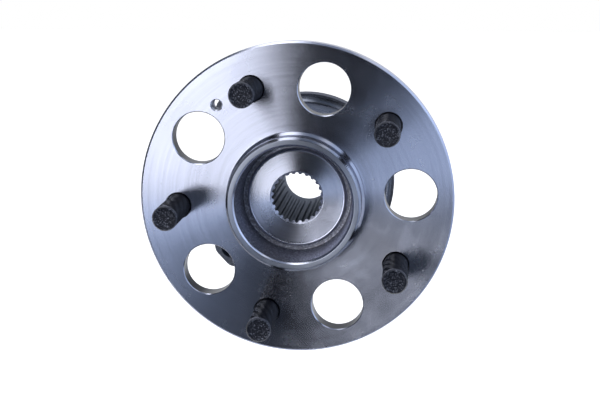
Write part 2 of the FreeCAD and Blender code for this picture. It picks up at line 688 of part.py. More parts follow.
def ball(row, number):
    """One ball of a row, placed on the pitch circle."""
    label = f"ball_{row}_{number:02d}"
    sphere = doc.addObject("Part::Sphere", label)
    sphere.Label = label
    sphere.setExpression("Radius", formula("ball_radius"))
    angle = f"({number - 1} * 360 / ball_count)"
    sphere.setExpression("Placement.Base.x", formula(f"pitch_radius * cos({angle})"))
    sphere.setExpression("Placement.Base.y", formula(f"{row}_row_depth"))
    sphere.setExpression("Placement.Base.z", formula(f"pitch_radius * sin({angle})"))
    return sphere


def cage(row):
    """A snap cage: a ring behind the balls with open pockets that reach past their centres."""
    label = f"cage_{row}"
    back = row_depth(row, "-pocket_radius - cage_back_wall")
    mouth = row_depth(row, "cage_reach")
    body = revolved(
        label,
        [
            ("cage_inner_radius", back),
            ("cage_inner_radius", mouth),
            ("cage_outer_radius", mouth),
            ("cage_outer_radius", back),
        ],
    )
    before = body.Shape.Volume
    pocket = body.newObject("PartDesign::SubtractiveSphere", f"{label}_pocket")
    pocket.setExpression("Radius", formula("pocket_radius"))
    pocket.setExpression("Placement.Base.x", formula("pitch_radius"))
    pocket.setExpression("Placement.Base.y", formula(f"{row}_row_depth"))
    # The sphere's poles point along the radius, clear of the cage, and its seam lies in the pocket's mouth
    radial = FreeCAD.Vector(1, 0, 0)
    mouth_way = FreeCAD.Vector(0, int(OUTWARD[row]), 0)
    pocket.Placement.Rotation = FreeCAD.Rotation(mouth_way, radial.cross(mouth_way), radial, "ZXY")
    doc.recompute()
    must_cut(body, before, pocket.Name)
    patterned(body, pocket, f"{label}_pockets", "ball_count")

    before = body.Shape.Volume
    sketch = new_sketch(body, f"{label}_slot_outline", "XZ_Plane", mouth, "180 / ball_count")
    draw_outline(
        sketch,
        [
            ("cage_inner_radius - cage_slot_width", "-cage_slot_width / 2"),
            ("cage_outer_radius + cage_slot_width", "-cage_slot_width / 2"),
            ("cage_outer_radius + cage_slot_width", "cage_slot_width / 2"),
            ("cage_inner_radius - cage_slot_width", "cage_slot_width / 2"),
        ],
    )
    slot = body.newObject("PartDesign::Pocket", f"{label}_slot")
    slot.Profile = (sketch, [""])
    slot.setExpression("Length", formula("cage_slot_depth"))
    slot.Reversed = row == "inboard"
    doc.recompute()
    must_cut(body, before, slot.Name)
    patterned(body, slot, f"{label}_slots", "ball_count")
    return body


# Seals

# Each seal seats on a step of the outer ring and runs on a round land and a flat face of the hub
SEALS = {
    "outboard": {
        "step": "outboard_seat_end",
        "rim": "outer_ring_start + seal_case_inset",
        "land": "seal_land_radius",
        "face": "root_face_depth",
        "face_radius": "root_face_radius",
    },
    "inboard": {
        "step": "inboard_seat_start",
        "rim": "outer_ring_end - seal_case_inset",
        "land": "slinger_sleeve_radius",
        "face": "slinger_face",
        "face_radius": "slinger_radius",
    },
}


def seal_case(row):
    """The pressed steel case: a sleeve in the outer ring with a disc on the seat's step."""
    seal = SEALS[row]
    disc_face = f"{seal['step']} + {OUTWARD[row]} * seal_case_wall"
    bore = f"{seal['land']} + seal_case_gap"
    return revolved(
        f"seal_case_{row}",
        [
            (bore, seal["step"]),
            (bore, disc_face),
            ("seal_seat_radius - seal_case_wall", disc_face),
            ("seal_seat_radius - seal_case_wall", seal["rim"]),
            ("seal_seat_radius", seal["rim"]),
            ("seal_seat_radius", seal["step"]),
        ],
    )


def seal_lips(row):
    """The rubber bonded to a seal case, with a lip round the land and a lip against the face."""
    seal = SEALS[row]
    outward = OUTWARD[row]
    case_bore = f"{seal['land']} + seal_case_gap"
    disc_face = f"{seal['step']} + {outward} * seal_case_wall"
    body_face = f"{disc_face} + {outward} * lip_wall"
    tip_depth = f"{seal['face']} - {outward} * lip_clearance"
    return revolved(
        f"seal_lips_{row}",
        [
            (f"{seal['land']} + lip_body_gap", seal["step"]),
            (f"{seal['land']} + lip_clearance", f"{disc_face} + {outward} * 3 * lip_wall"),
            (f"{seal['land']} + lip_clearance", f"{disc_face} + {outward} * 4 * lip_wall"),
            (f"{case_bore} + lip_wall", body_face),
            (f"{case_bore} + 3 * lip_wall", body_face),
            (f"{seal['face_radius']} - 2 * lip_wall", tip_depth),
            (f"{seal['face_radius']} - lip_wall", tip_depth),
            ("seal_seat_radius - seal_case_wall", body_face),
            ("seal_seat_radius - seal_case_wall", disc_face),
            (case_bore, disc_face),
            (case_bore, seal["step"]),
        ],
    )


def slinger():
    """The steel slinger pressed on the inner ring, which carries the encoder ring."""
    sleeve_start = "inner_ring_end - slinger_sleeve"
    return revolved(
        "slinger",
        [
            ("inner_shoulder_radius", sleeve_start),
            ("inner_shoulder_radius", "inner_ring_end"),
            ("slinger_radius", "inner_ring_end"),
            ("slinger_radius", "slinger_face"),
            ("slinger_sleeve_radius", "slinger_face"),
            ("slinger_sleeve_radius", sleeve_start),
        ],
    )


def encoder_ring():
    """The magnetic ring that a wheel speed sensor reads, bonded to the slinger."""
    back = "inner_ring_end"
    front = "inner_ring_end + encoder_thickness"
    return revolved(
        "encoder_ring",
        [
            ("encoder_inner_radius", back),
            ("encoder_inner_radius", front),
            ("slinger_radius", front),
            ("slinger_radius", back),
        ],
    )


# Assembly


def build():
    """Every sub-part, in the order in which the bearing is put together."""
    rows = list(OUTWARD)
    parts = [hub_flange()]
    parts += [wheel_stud(number) for number in range(1, int(value("stud_count")) + 1)]
    parts += [outer_ring(), inner_ring()]
    for row in rows:
        parts += [ball(row, number) for number in range(1, int(value("ball_count")) + 1)]
        parts.append(cage(row))
        parts.append(seal_case(row))
        parts.append(seal_lips(row))
    parts += [slinger(), encoder_ring()]
    doc.recompute()
    return parts


def check(parts):
    """Stop if any object failed or any sub-part has no valid solid."""
    for item in doc.Objects:
        if {"Invalid", "Error"} & set(item.State):
            raise RuntimeError(f"{item.Name} failed: {item.State}")
    for part in parts:
        if part.Shape.isNull() or not part.Shape.isValid() or not part.Shape.Solids:
            raise RuntimeError(f"{part.Label} has no valid solid")


def export(parts):
    """Write each sub-part to its own STEP file."""
    os.makedirs("parts", exist_ok=True)
    for part in parts:
        part.Shape.exportStep(f"parts/{part.Label}.step")
        print(f"{part.Label}: {part.Shape.Volume:.0f} mm3, {len(part.Shape.Faces)} faces")


parts = build()
check(parts)
export(parts)
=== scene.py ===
"""Wheel hub bearing: turned hub flange with studs, on a double-row ball bearing in a bolted ring.

The hub turns about the Y axis. The wheel side faces -Y and Z is up. Sizes in the classes are in
millimetres, except the studio's, and every mesh is made in metres.
"""

from __future__ import annotations

import logging
import math
from collections.abc import Callable, Iterable, Sequence
from dataclasses import dataclass, field
from enum import Enum

import bpy
from mathutils import Matrix, Vector

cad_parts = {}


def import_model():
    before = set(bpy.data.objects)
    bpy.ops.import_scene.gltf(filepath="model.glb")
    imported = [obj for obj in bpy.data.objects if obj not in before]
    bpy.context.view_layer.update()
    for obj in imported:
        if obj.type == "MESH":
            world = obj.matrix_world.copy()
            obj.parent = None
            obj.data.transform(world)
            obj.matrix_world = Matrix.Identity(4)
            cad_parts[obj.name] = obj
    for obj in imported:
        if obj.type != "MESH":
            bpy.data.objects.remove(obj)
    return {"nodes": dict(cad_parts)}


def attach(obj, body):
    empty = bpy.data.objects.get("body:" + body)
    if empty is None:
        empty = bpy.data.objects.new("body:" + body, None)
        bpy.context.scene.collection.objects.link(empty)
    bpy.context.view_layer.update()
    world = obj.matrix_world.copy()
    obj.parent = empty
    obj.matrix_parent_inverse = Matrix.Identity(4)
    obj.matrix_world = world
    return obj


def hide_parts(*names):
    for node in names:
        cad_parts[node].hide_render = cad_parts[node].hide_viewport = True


MM = 0.001
TURN = 2 * math.pi

# Points this close, in metres, are one point, and middles of faces this close are one spot.
SAME_PLACE = 1e-6
SAME_SPOT = 5e-6

# The weight by which large flat faces stay flat beside their blends.
LARGE_FACES_FIRST = 100

# A quarter of a turn, by which highlights stretch across the lathe marks.
ACROSS_MARKS = 0.25

LOG = logging.getLogger("wheel_hub_bearing")

Colour = tuple[float, float, float]
Piece = bpy.types.Object
Socket = bpy.types.NodeSocket
Source = float | Socket
ColourSource = Colour | Socket


# Node helpers


class NodeBench:
    """Builds the node tree of one material."""

    def __init__(self, name: str) -> None:
        """Make a material with an empty node tree and a metal and plastic shader.

        Args:
            name: The material's name.
        """
        self.material = bpy.data.materials.new(name)
        self.material.use_nodes = True
        self.tree = self.material.node_tree
        self.tree.nodes.clear()
        self.output = self.tree.nodes.new("ShaderNodeOutputMaterial")
        self.shader = self.add("ShaderNodeBsdfPrincipled")
        self.link(self.shader.outputs["BSDF"], self.output.inputs["Surface"])

    def add(self, kind: str, **settings: object) -> bpy.types.Node:
        """Add a node.

        Args:
            kind: The node's type name.
            settings: Properties to set on the node.

        Returns:
            The new node.
        """
        node = self.tree.nodes.new(kind)
        for key, setting in settings.items():
            setattr(node, key, setting)
        return node

    def link(self, start: Socket, end: Socket) -> None:
        """Join two sockets."""
        self.tree.links.new(start, end)

    def feed(
        self, node: bpy.types.Node, socket: str | int, source: Source | tuple[float, ...]
    ) -> None:
        """Set an input to a number or colour, or link it to another socket.

        Args:
            node: The node that is fed.
            socket: The input's name or number.
            source: A socket, a number or a colour.
        """
        if isinstance(source, Socket):
            self.link(source, node.inputs[socket])
        else:
            node.inputs[socket].default_value = source

    def math(self, operation: str, first: Source, second: Source = 0.0) -> Socket:
        """A calculation with one or two numbers or sockets.

        Args:
            operation: The operation's name.
            first: The first operand.
            second: The second operand.

        Returns:
            The result's socket.
        """
        node = self.add("ShaderNodeMath", operation=operation)
        self.feed(node, 0, first)
        self.feed(node, 1, second)
        return node.outputs["Value"]

    def spread(
        self, source: Socket, low: float, high: float, to_low: float, to_high: float
    ) -> Socket:
        """Map a range of a socket's values onto another range.

        Args:
            source: The socket that is mapped.
            low: Start of its range.
            high: End of its range.
            to_low: What the start becomes.
            to_high: What the end becomes.

        Returns:
            The mapped socket.
        """
        node = self.add("ShaderNodeMapRange")
        for socket, setting in zip(range(5), (source, low, high, to_low, to_high)):
            self.feed(node, socket, setting)
        return node.outputs["Result"]

    def mix(self, share: Source, first: ColourSource, second: ColourSource) -> Socket:
        """Mix two colours.

        Args:
            share: How much of the second colour is used.
            first: The first colour.
            second: The second colour.

        Returns:
            The mixed colour's socket.
        """
        node = self.add("ShaderNodeMix", data_type="RGBA")
        self.feed(node, 0, share)
        for socket, colour in ((6, first), (7, second)):
            self.feed(node, socket, (*colour, 1.0) if isinstance(colour, tuple) else colour)
        return node.outputs[2]

    def noise(
        self, vector: Socket, scale: float, detail: float = 2.0, rough: float = 0.5
    ) -> Socket:
        """A noise pattern.

        Args:
            vector: Where the pattern is read.
            scale: How many of its cells fit in a metre.
            detail: How many finer layers it has.
            rough: How strong the finer layers are.

        Returns:
            The pattern's socket, from 0 to 1.
        """
        node = self.add("ShaderNodeTexNoise")
        self.link(vector, node.inputs["Vector"])
        node.inputs["Scale"].default_value = scale
        node.inputs["Detail"].default_value = detail
        node.inputs["Roughness"].default_value = rough
        return node.outputs["Fac"]

    def bump(self, height: Socket, depth: float, below: Socket | None = None) -> Socket:
        """Fine relief on the surface.

        Args:
            height: The relief's pattern, from 0 to 1.
            depth: Its depth in millimetres.
            below: A relief that this one lies on.

        Returns:
            The bent normal's socket.
        """
        node = self.add("ShaderNodeBump")
        node.inputs["Distance"].default_value = depth * MM
        self.link(height, node.inputs["Height"])
        if below is not None:
            self.link(below, node.inputs["Normal"])
        return node.outputs["Normal"]

    def place(self) -> tuple[Socket, list[Socket]]:
        """The object coordinates.

        Returns:
            The coordinates as one vector, and as a list of three numbers.
        """
        node = self.add("ShaderNodeTexCoord")
        parts = self.add("ShaderNodeSeparateXYZ")
        self.link(node.outputs["Object"], parts.inputs[0])
        return node.outputs["Object"], [parts.outputs[index] for index in range(3)]

    def distance_from(self, vector: Socket, point: Vector) -> Socket:
        """How far the surface is from a point, in metres.

        Args:
            vector: The object coordinates.
            point: The point, in metres.

        Returns:
            The distance's socket.
        """
        node = self.add("ShaderNodeVectorMath", operation="DISTANCE")
        self.link(vector, node.inputs[0])
        node.inputs[1].default_value = point
        return node.outputs["Value"]

    def turned(self, scale: float, around: float) -> Socket:
        """Coordinates that run fast across lathe marks and slowly round the hub's axis.

        Args:
            scale: Cells in a metre across the marks.
            around: Cells in a turn, along the marks.

        Returns:
            The coordinates' socket.
        """
        _, (across, depth, up) = self.place()
        squares = [self.math("MULTIPLY", side, side) for side in (across, up)]
        radius = self.math("MAXIMUM", self.math("SQRT", self.math("ADD", *squares)), MM)
        node = self.add("ShaderNodeCombineXYZ")
        self.link(self.math("MULTIPLY", self.math("ADD", radius, depth), scale), node.inputs[1])
        for index, side in ((0, across), (2, up)):
            slow = self.math("MULTIPLY", self.math("DIVIDE", side, radius), around)
            self.link(slow, node.inputs[index])
        return node.outputs[0]

    def leaning(self, amount: float) -> Socket:
        """Normals that lean away from the hub's axis, as the flanks of feed marks do.

        Args:
            amount: How far they lean, in radians.

        Returns:
            The normal's socket.
        """
        _, (across, _, up) = self.place()
        outwards = self.add("ShaderNodeCombineXYZ")
        self.link(across, outwards.inputs[0])
        self.link(up, outwards.inputs[2])
        turned = self.add(
            "ShaderNodeVectorTransform",
            vector_type="VECTOR",
            convert_from="OBJECT",
            convert_to="WORLD",
        )
        self.link(outwards.outputs[0], turned.inputs[0])
        unit = self.add("ShaderNodeVectorMath", operation="NORMALIZE")
        self.link(turned.outputs[0], unit.inputs[0])
        part = self.add("ShaderNodeVectorMath", operation="SCALE")
        self.link(unit.outputs[0], part.inputs[0])
        part.inputs["Scale"].default_value = amount
        total = self.add("ShaderNodeVectorMath", operation="ADD")
        self.link(part.outputs[0], total.inputs[0])
        self.link(self.add("ShaderNodeNewGeometry").outputs["Normal"], total.inputs[1])
        normal = self.add("ShaderNodeVectorMath", operation="NORMALIZE")
        self.link(total.outputs[0], normal.inputs[0])
        return normal.outputs[0]


# Finishes


@dataclass(frozen=True)
class Smudge:
    """A place where handling has dulled a turned face, with sizes in millimetres."""

    place: tuple[float, float, float]
    reach: float
    strength: float
    speck_scale: float = 420.0
    tint: Colour = (0.8, 0.83, 0.88)
    tint_share: float = 0.6
    extra_roughness: float = 0.12

    def share(self, bench: NodeBench, vector: Socket) -> Socket:
        """How strongly the smudge shows at a place.

        Args:
            bench: The material's bench.
            vector: The object coordinates.

        Returns:
            The share's socket.
        """
        away = bench.distance_from(vector, Vector(self.place) * MM)
        patch = bench.spread(away, self.reach * MM, self.reach * 0.2 * MM, 0.0, self.strength)
        speck = bench.spread(bench.noise(vector, self.speck_scale, 6.0, 0.8), 0.52, 0.6, 0.0, 1.0)
        return bench.math("MULTIPLY", patch, speck)


@dataclass(frozen=True)
class TurnedSteel:
    """Lathe-turned bare steel: its fine rings stretch reflections across the marks."""

    name: str
    colour: Colour = (0.57, 0.588, 0.7)
    roughness: float = 0.24
    stretch: float = 0.95
    ring_depth: float = 0.002
    ring_scale: float = 650.0
    lean: float = 0.0
    edge_tint: Colour = (1.0, 1.0, 1.0)
    mottle: float = 0.06
    cloud_scale: float = 60.0
    grain_depth: float = 0.0
    grain_scale: float = 1100.0
    chatter: int = 0
    chatter_depth: float = 0.0
    smudges: tuple[Smudge, ...] = ()

    def build(self) -> bpy.types.Material:
        """Make the material.

        Returns:
            The finished material.
        """
        bench = NodeBench(self.name)
        shader = bench.shader
        rings = bench.noise(bench.turned(self.ring_scale, 0.8), 1.0, 2.0, 0.5)
        self.paint(bench, rings)
        self.bend(bench, rings)
        shader.inputs["Metallic"].default_value = 1.0
        shader.inputs["Specular Tint"].default_value = (*self.edge_tint, 1.0)
        shader.inputs["Anisotropic"].default_value = self.stretch
        shader.inputs["Anisotropic Rotation"].default_value = ACROSS_MARKS
        tangent = bench.add("ShaderNodeTangent", direction_type="RADIAL", axis="Y")
        bench.link(tangent.outputs["Tangent"], shader.inputs["Tangent"])
        return bench.material

    def paint(self, bench: NodeBench, rings: Socket) -> None:
        """Set the colour and the roughness, with clouds, tool bands and smudges.

        Args:
            bench: The material's bench.
            rings: The pattern of the lathe marks.
        """
        vector, _ = bench.place()
        bands = bench.noise(bench.turned(self.ring_scale / 7, 0.5), 1.0, 2.0)
        cloud = bench.noise(vector, self.cloud_scale, 5.0, 0.6)
        bright = tuple(min(channel * (1 + self.mottle), 1.0) for channel in self.colour)
        dim = tuple(channel * (1 - self.mottle) for channel in self.colour)
        tint = bench.mix(bench.spread(cloud, 0.3, 0.7, 0.0, 1.0), dim, bright)
        groove = tuple(0.8 * channel for channel in dim)
        tint = bench.mix(bench.spread(rings, 0.4, 0.68, 0.0, 0.3), tint, groove)
        rough = bench.spread(bands, 0.3, 0.7, self.roughness * 0.92, self.roughness * 1.08)
        rough = bench.math("ADD", rough, bench.spread(cloud, 0.45, 0.8, 0.0, self.mottle))
        for smudge in self.smudges:
            mark = smudge.share(bench, vector)
            dulled = bench.math("MULTIPLY", mark, smudge.extra_roughness)
            rough = bench.math("ADD", rough, dulled)
            tint = bench.mix(bench.math("MULTIPLY", mark, smudge.tint_share), tint, smudge.tint)
        bench.link(tint, bench.shader.inputs["Base Color"])
        bench.link(rough, bench.shader.inputs["Roughness"])

    def bend(self, bench: NodeBench, rings: Socket) -> None:
        """Set the normals, with the lathe marks and what lies on them.

        Args:
            bench: The material's bench.
            rings: The pattern of the lathe marks.
        """
        normal = bench.bump(rings, self.ring_depth, bench.leaning(self.lean) if self.lean else None)
        if self.grain_depth:
            vector, _ = bench.place()
            grain = bench.noise(vector, self.grain_scale, 4.0, 0.6)
            normal = bench.bump(grain, self.grain_depth, normal)
        if self.chatter:
            normal = bench.bump(self.chatter_marks(bench), self.chatter_depth, normal)
        bench.link(normal, bench.shader.inputs["Normal"])

    def chatter_marks(self, bench: NodeBench) -> Socket:
        """Marks that a vibrating tool leaves across a turned wall, stronger in some places.

        Args:
            bench: The material's bench.

        Returns:
            The marks' height, from 0 to 1.
        """
        vector, (across, _, up) = bench.place()
        angle = bench.math("ARCTAN2", up, across)
        drift = bench.spread(bench.noise(vector, 45.0), 0.3, 0.7, -1.5, 1.5)
        turns = bench.math("MULTIPLY", angle, float(self.chatter))
        wave = bench.math("SINE", bench.math("ADD", turns, drift))
        strength = bench.spread(bench.noise(vector, 28.0), 0.4, 0.62, 0.0, 1.0)
        return bench.math("MULTIPLY", bench.spread(wave, -1.0, 1.0, 0.0, 1.0), strength)


@dataclass(frozen=True)
class ForgedSteel:
    """Forged and blasted steel that was never machined: dark and grainy, with warmer patches."""

    name: str
    colour: Colour = (0.13, 0.132, 0.15)
    light: Colour = (0.55, 0.56, 0.62)
    warm_tone: Colour = (1.06, 1.0, 0.95)
    edge_tint: Colour = (0.35, 0.38, 0.46)
    roughness: float = 0.42
    metallic: float = 0.9
    grain_depth: float = 0.09
    grain_scale: float = 1100.0
    pit_scale: float = 600.0
    patch_scale: float = 120.0

    def build(self) -> bpy.types.Material:
        """Make the material.

        Returns:
            The finished material.
        """
        bench = NodeBench(self.name)
        shader = bench.shader
        vector, _ = bench.place()
        grain = bench.noise(vector, self.grain_scale, 6.0, 0.7)
        patch = bench.noise(vector, self.patch_scale, 4.0, 0.6)
        cell = bench.add("ShaderNodeTexVoronoi", feature="F1")
        bench.link(vector, cell.inputs["Vector"])
        cell.inputs["Scale"].default_value = self.pit_scale
        pits = bench.spread(cell.outputs["Distance"], 0.0, 0.55, 0.0, 1.0)
        speck = bench.math("MULTIPLY", bench.spread(grain, 0.48, 0.62, 0.0, 1.0), 0.8)
        warm = tuple(channel * tone for channel, tone in zip(self.colour, self.warm_tone))
        shader.inputs["Specular Tint"].default_value = (*self.edge_tint, 1.0)
        tint = bench.mix(bench.spread(patch, 0.35, 0.65, 0.0, 1.0), self.colour, warm)
        bench.link(bench.mix(speck, tint, self.light), shader.inputs["Base Color"])
        rough = bench.spread(grain, 0.35, 0.65, self.roughness * 1.3, self.roughness * 0.7)
        bench.link(rough, shader.inputs["Roughness"])
        shader.inputs["Metallic"].default_value = self.metallic
        normal = bench.bump(grain, self.grain_depth)
        bench.link(bench.bump(pits, self.grain_depth * 0.5, normal), shader.inputs["Normal"])
        return bench.material


@dataclass(frozen=True)
class BroachedSteel:
    """Steel cut along the axis by a broach: fine lines that run along Y."""

    name: str
    colour: Colour = (0.12, 0.138, 0.18)
    edge_tint: Colour = (0.4, 0.46, 0.6)
    roughness: float = 0.5
    metallic: float = 0.6
    line_depth: float = 0.012
    line_scale: float = 3200.0
    drawn_out: float = 0.03

    def build(self) -> bpy.types.Material:
        """Make the material.

        Returns:
            The finished material.
        """
        bench = NodeBench(self.name)
        shader = bench.shader
        _, (across, depth, up) = bench.place()
        lines = bench.add("ShaderNodeCombineXYZ")
        bench.link(across, lines.inputs[0])
        bench.link(bench.math("MULTIPLY", depth, self.drawn_out), lines.inputs[1])
        bench.link(up, lines.inputs[2])
        score = bench.noise(lines.outputs[0], self.line_scale, 3.0, 0.6)
        dark = tuple(channel * 0.6 for channel in self.colour)
        tint = bench.mix(bench.spread(score, 0.35, 0.65, 0.0, 1.0), dark, self.colour)
        bench.link(tint, shader.inputs["Base Color"])
        rough = bench.spread(score, 0.3, 0.7, self.roughness * 0.8, self.roughness * 1.2)
        bench.link(rough, shader.inputs["Roughness"])
        shader.inputs["Metallic"].default_value = self.metallic
        shader.inputs["Specular Tint"].default_value = (*self.edge_tint, 1.0)
        bench.link(bench.bump(score, self.line_depth), shader.inputs["Normal"])
        return bench.material


@dataclass(frozen=True)
class Phosphate:
    """Black oiled phosphate on the studs: a soft dark coat with fine crystals, and paler edges and
    specks that are partly worn coat and partly painted highlights and glints.
    """

    name: str
    colour: Colour = (0.0055, 0.006, 0.0105)
    # The paler colour and its edge and speck shares give worn coat and also painted highlights and
    # glints.
    rubbed_and_glint: Colour = (0.07, 0.075, 0.1)
    roughness: float = 0.2
    metallic: float = 0.2
    shine: float = 0.22
    wear_and_glints: float = 0.3
    edge_wear_and_highlight: float = 0.25
    grain_depth: float = 0.02
    grain_scale: float = 2600.0
    patch_scale: float = 380.0

    def build(self) -> bpy.types.Material:
        """Make the material.

        Returns:
            The finished material.
        """
        bench = NodeBench(self.name)
        shader = bench.shader
        vector, _ = bench.place()
        crystals = bench.noise(vector, self.grain_scale, 4.0, 0.7)
        patch = bench.noise(vector, self.patch_scale, 3.0, 0.6)
        shape = bench.add("ShaderNodeNewGeometry")
        # Sharp edges such as the thread crests are paler: partly worn coat, partly a painted
        # highlight.
        edge = bench.spread(shape.outputs["Pointiness"], 0.52, 0.58, 0.0, self.edge_wear_and_highlight)
        # Pale specks on the crystals: a little worn coat on the shanks, and painted glints on the
        # tips.
        speck = bench.spread(crystals, 0.52, 0.66, 0.0, self.wear_and_glints)
        share = bench.math("MAXIMUM", edge, bench.math("MULTIPLY", speck, patch))
        bench.link(bench.mix(share, self.colour, self.rubbed_and_glint), shader.inputs["Base Color"])
        rough = bench.spread(patch, 0.3, 0.7, self.roughness * 0.85, self.roughness * 1.2)
        bench.link(rough, shader.inputs["Roughness"])
        shader.inputs["Metallic"].default_value = self.metallic
        shader.inputs["Specular IOR Level"].default_value = self.shine
        bench.link(bench.bump(crystals, self.grain_depth), shader.inputs["Normal"])
        return bench.material


@dataclass(frozen=True)
class Moulded:
    """Moulded rubber or polyamide: matt, with a fine pebble and a little dust."""

    name: str
    colour: Colour
    roughness: float = 0.55
    grain_depth: float = 0.01
    pebble_scale: float = 2200.0
    dust: float = 0.25
    dust_scale: float = 140.0

    def build(self) -> bpy.types.Material:
        """Make the material.

        Returns:
            The finished material.
        """
        bench = NodeBench(self.name)
        shader = bench.shader
        vector, _ = bench.place()
        pebble = bench.noise(vector, self.pebble_scale, 3.0, 0.6)
        patch = bench.noise(vector, self.dust_scale, 4.0, 0.6)
        pale = tuple(min(channel * 1.5 + 0.02, 1.0) for channel in self.colour)
        share = bench.spread(patch, 0.4, 0.75, 0.0, self.dust)
        bench.link(bench.mix(share, self.colour, pale), shader.inputs["Base Color"])
        rough = bench.spread(pebble, 0.3, 0.7, self.roughness * 0.85, self.roughness * 1.1)
        bench.link(rough, shader.inputs["Roughness"])
        bench.link(bench.bump(pebble, self.grain_depth), shader.inputs["Normal"])
        return bench.material


class Finish(Enum):
    """Every finish on the bearing."""

    FLANGE_FACE = TurnedSteel(
        "turned_flange_face",
        lean=0.027,
        smudges=(
            Smudge((-10.5, 0.0, -43.5), 15.0, 0.5),
            Smudge((36.0, 0.0, 32.0), 14.0, 0.3),
            Smudge((-66.0, 0.0, 12.0), 9.0, 0.2),
        ),
    )
    FLANGE_RIM = TurnedSteel("turned_flange_rim", roughness=0.3, ring_depth=0.01, ring_scale=500.0)
    FLANGE_BACK = TurnedSteel("turned_flange_back", colour=(0.5, 0.53, 0.58), roughness=0.36)
    PILOT_WALL = TurnedSteel(
        "ground_pilot_wall",
        colour=(0.4, 0.415, 0.49),
        roughness=0.22,
        stretch=0.85,
        ring_depth=0.012,
        chatter=210,
        chatter_depth=0.02,
    )
    PILOT_STEP = TurnedSteel(
        "turned_pilot_step", colour=(0.42, 0.435, 0.52), roughness=0.22, stretch=0.0
    )
    PILOT_RIM = TurnedSteel(
        "turned_pilot_rim",
        colour=(0.36, 0.38, 0.45),
        roughness=0.36,
        stretch=0.7,
        grain_depth=0.02,
        mottle=0.15,
    )
    PILOT_CHAMFER = TurnedSteel("turned_pilot_chamfer", roughness=0.18, stretch=0.0)
    BOSS_EDGE = TurnedSteel("turned_boss_edge", roughness=0.38, stretch=0.0, mottle=0.1)
    BOSS_FACE = TurnedSteel(
        "turned_boss_face", colour=(0.66, 0.68, 0.8), lean=0.045, mottle=0.08
    )
    GROUND_SEAT = TurnedSteel(
        "ground_seat", colour=(0.62, 0.63, 0.66), roughness=0.16, stretch=0.4, ring_depth=0.002
    )
    RECESS_WALL = ForgedSteel(
        "forged_recess",
        colour=(0.22, 0.225, 0.262),
        light=(0.56, 0.575, 0.66),
        edge_tint=(0.7, 0.72, 0.82),
        roughness=0.46,
        grain_depth=0.06,
    )
    FORMED_END = TurnedSteel("formed_end", colour=(0.5, 0.51, 0.54), roughness=0.3, stretch=0.3)
    BORE = BroachedSteel("broached_bore")
    CHAMFER = TurnedSteel("chamfer", roughness=0.22, stretch=0.0)
    HOLE_WALL = TurnedSteel(
        "bored_hole_wall", colour=(0.13, 0.14, 0.165), roughness=0.42, stretch=0.0, ring_depth=0.006
    )
    SCREW_HOLE = TurnedSteel(
        "tapped_screw_hole", colour=(0.7, 0.72, 0.8), roughness=0.4, stretch=0.0
    )
    TAPPED_EAR = TurnedSteel(
        "tapped_ear",
        colour=(0.05, 0.054, 0.066),
        roughness=0.4,
        stretch=0.0,
        edge_tint=(0.3, 0.33, 0.4),
    )
    RING_BODY = TurnedSteel(
        "turned_ring_body",
        colour=(0.2, 0.215, 0.26),
        roughness=0.26,
        stretch=0.7,
        ring_depth=0.03,
        ring_scale=420.0,
        edge_tint=(0.35, 0.39, 0.5),
        mottle=0.2,
    )
    RING_FLANGE = ForgedSteel(
        "forged_knuckle_flange",
        colour=(0.13, 0.137, 0.165),
        light=(0.21, 0.22, 0.26),
        grain_depth=0.04,
    )
    # The studs' paler thread crests are partly a painted highlight.
    STUD = Phosphate("black_phosphate")
    # The tip's many pale specks are painted glints off its rough sheared face.
    STUD_TIP = Phosphate(
        "phosphate_on_sheared_tip",
        colour=(0.012, 0.013, 0.02),
        rubbed_and_glint=(0.48, 0.5, 0.6),
        roughness=0.34,
        wear_and_glints=0.85,
        grain_depth=0.25,
        grain_scale=1300.0,
    )
    BALL = TurnedSteel(
        "polished_ball", colour=(0.72, 0.73, 0.75), roughness=0.08, stretch=0.0, ring_depth=0.0005
    )
    BEARING = TurnedSteel(
        "ground_bearing_steel",
        colour=(0.62, 0.63, 0.66),
        roughness=0.2,
        stretch=0.5,
        ring_depth=0.003,
    )
    CAGE = Moulded("cage_polyamide", (0.035, 0.034, 0.032), roughness=0.42)
    SEAL_SHEET = TurnedSteel(
        "seal_sheet_steel", colour=(0.5, 0.505, 0.52), roughness=0.26, stretch=0.3, mottle=0.1
    )
    SEAL_RUBBER = Moulded("seal_rubber", (0.016, 0.016, 0.017), roughness=0.6)
    ENCODER = Moulded("encoder_rubber", (0.03, 0.029, 0.029), roughness=0.5, grain_depth=0.02)


class FinishShelf:
    """Makes each finish once and hands it out."""

    def __init__(self) -> None:
        """Start with no finish made."""
        self.made: dict[Finish, bpy.types.Material] = {}

    def get(self, finish: Finish) -> bpy.types.Material:
        """The material of a finish, made the first time it is asked for."""
        if finish not in self.made:
            self.made[finish] = finish.value.build()
        return self.made[finish]

    def dress(self, piece: Piece, finishes: Sequence[Finish]) -> None:
        """Replace a piece's materials.

        Args:
            piece: The piece.
            finishes: Its finishes, in the order of its slots.
        """
        piece.data.materials.clear()
        for finish in finishes:
            piece.data.materials.append(self.get(finish))


# Modelling helpers


@dataclass(frozen=True)
class Corner:
    """A corner of a turned profile, in millimetres.

    A blend rounds or chamfers it, and the finish is that of the edge that leaves it.
    """

    radius: float
    depth: float
    finish: Finish
    blend: float = 0.0
    round_steps: int = 4

    def point(self) -> Vector:
        """The corner in metres, in the plane of the profile."""
        return Vector((self.radius, self.depth, 0.0)) * MM


def select_only(piece: Piece) -> None:
    """Select one piece and make it active.

    Args:
        piece: The piece.
    """
    bpy.ops.object.select_all(action="DESELECT")
    piece.select_set(True)
    bpy.context.view_layer.objects.active = piece


def edit(piece: Piece) -> None:
    """Go into edit mode on one piece, keeping what is selected in its mesh."""
    select_only(piece)
    bpy.ops.object.mode_set(mode="EDIT")


def leave_edit() -> None:
    """Go back to object mode."""
    bpy.ops.object.mode_set(mode="OBJECT")


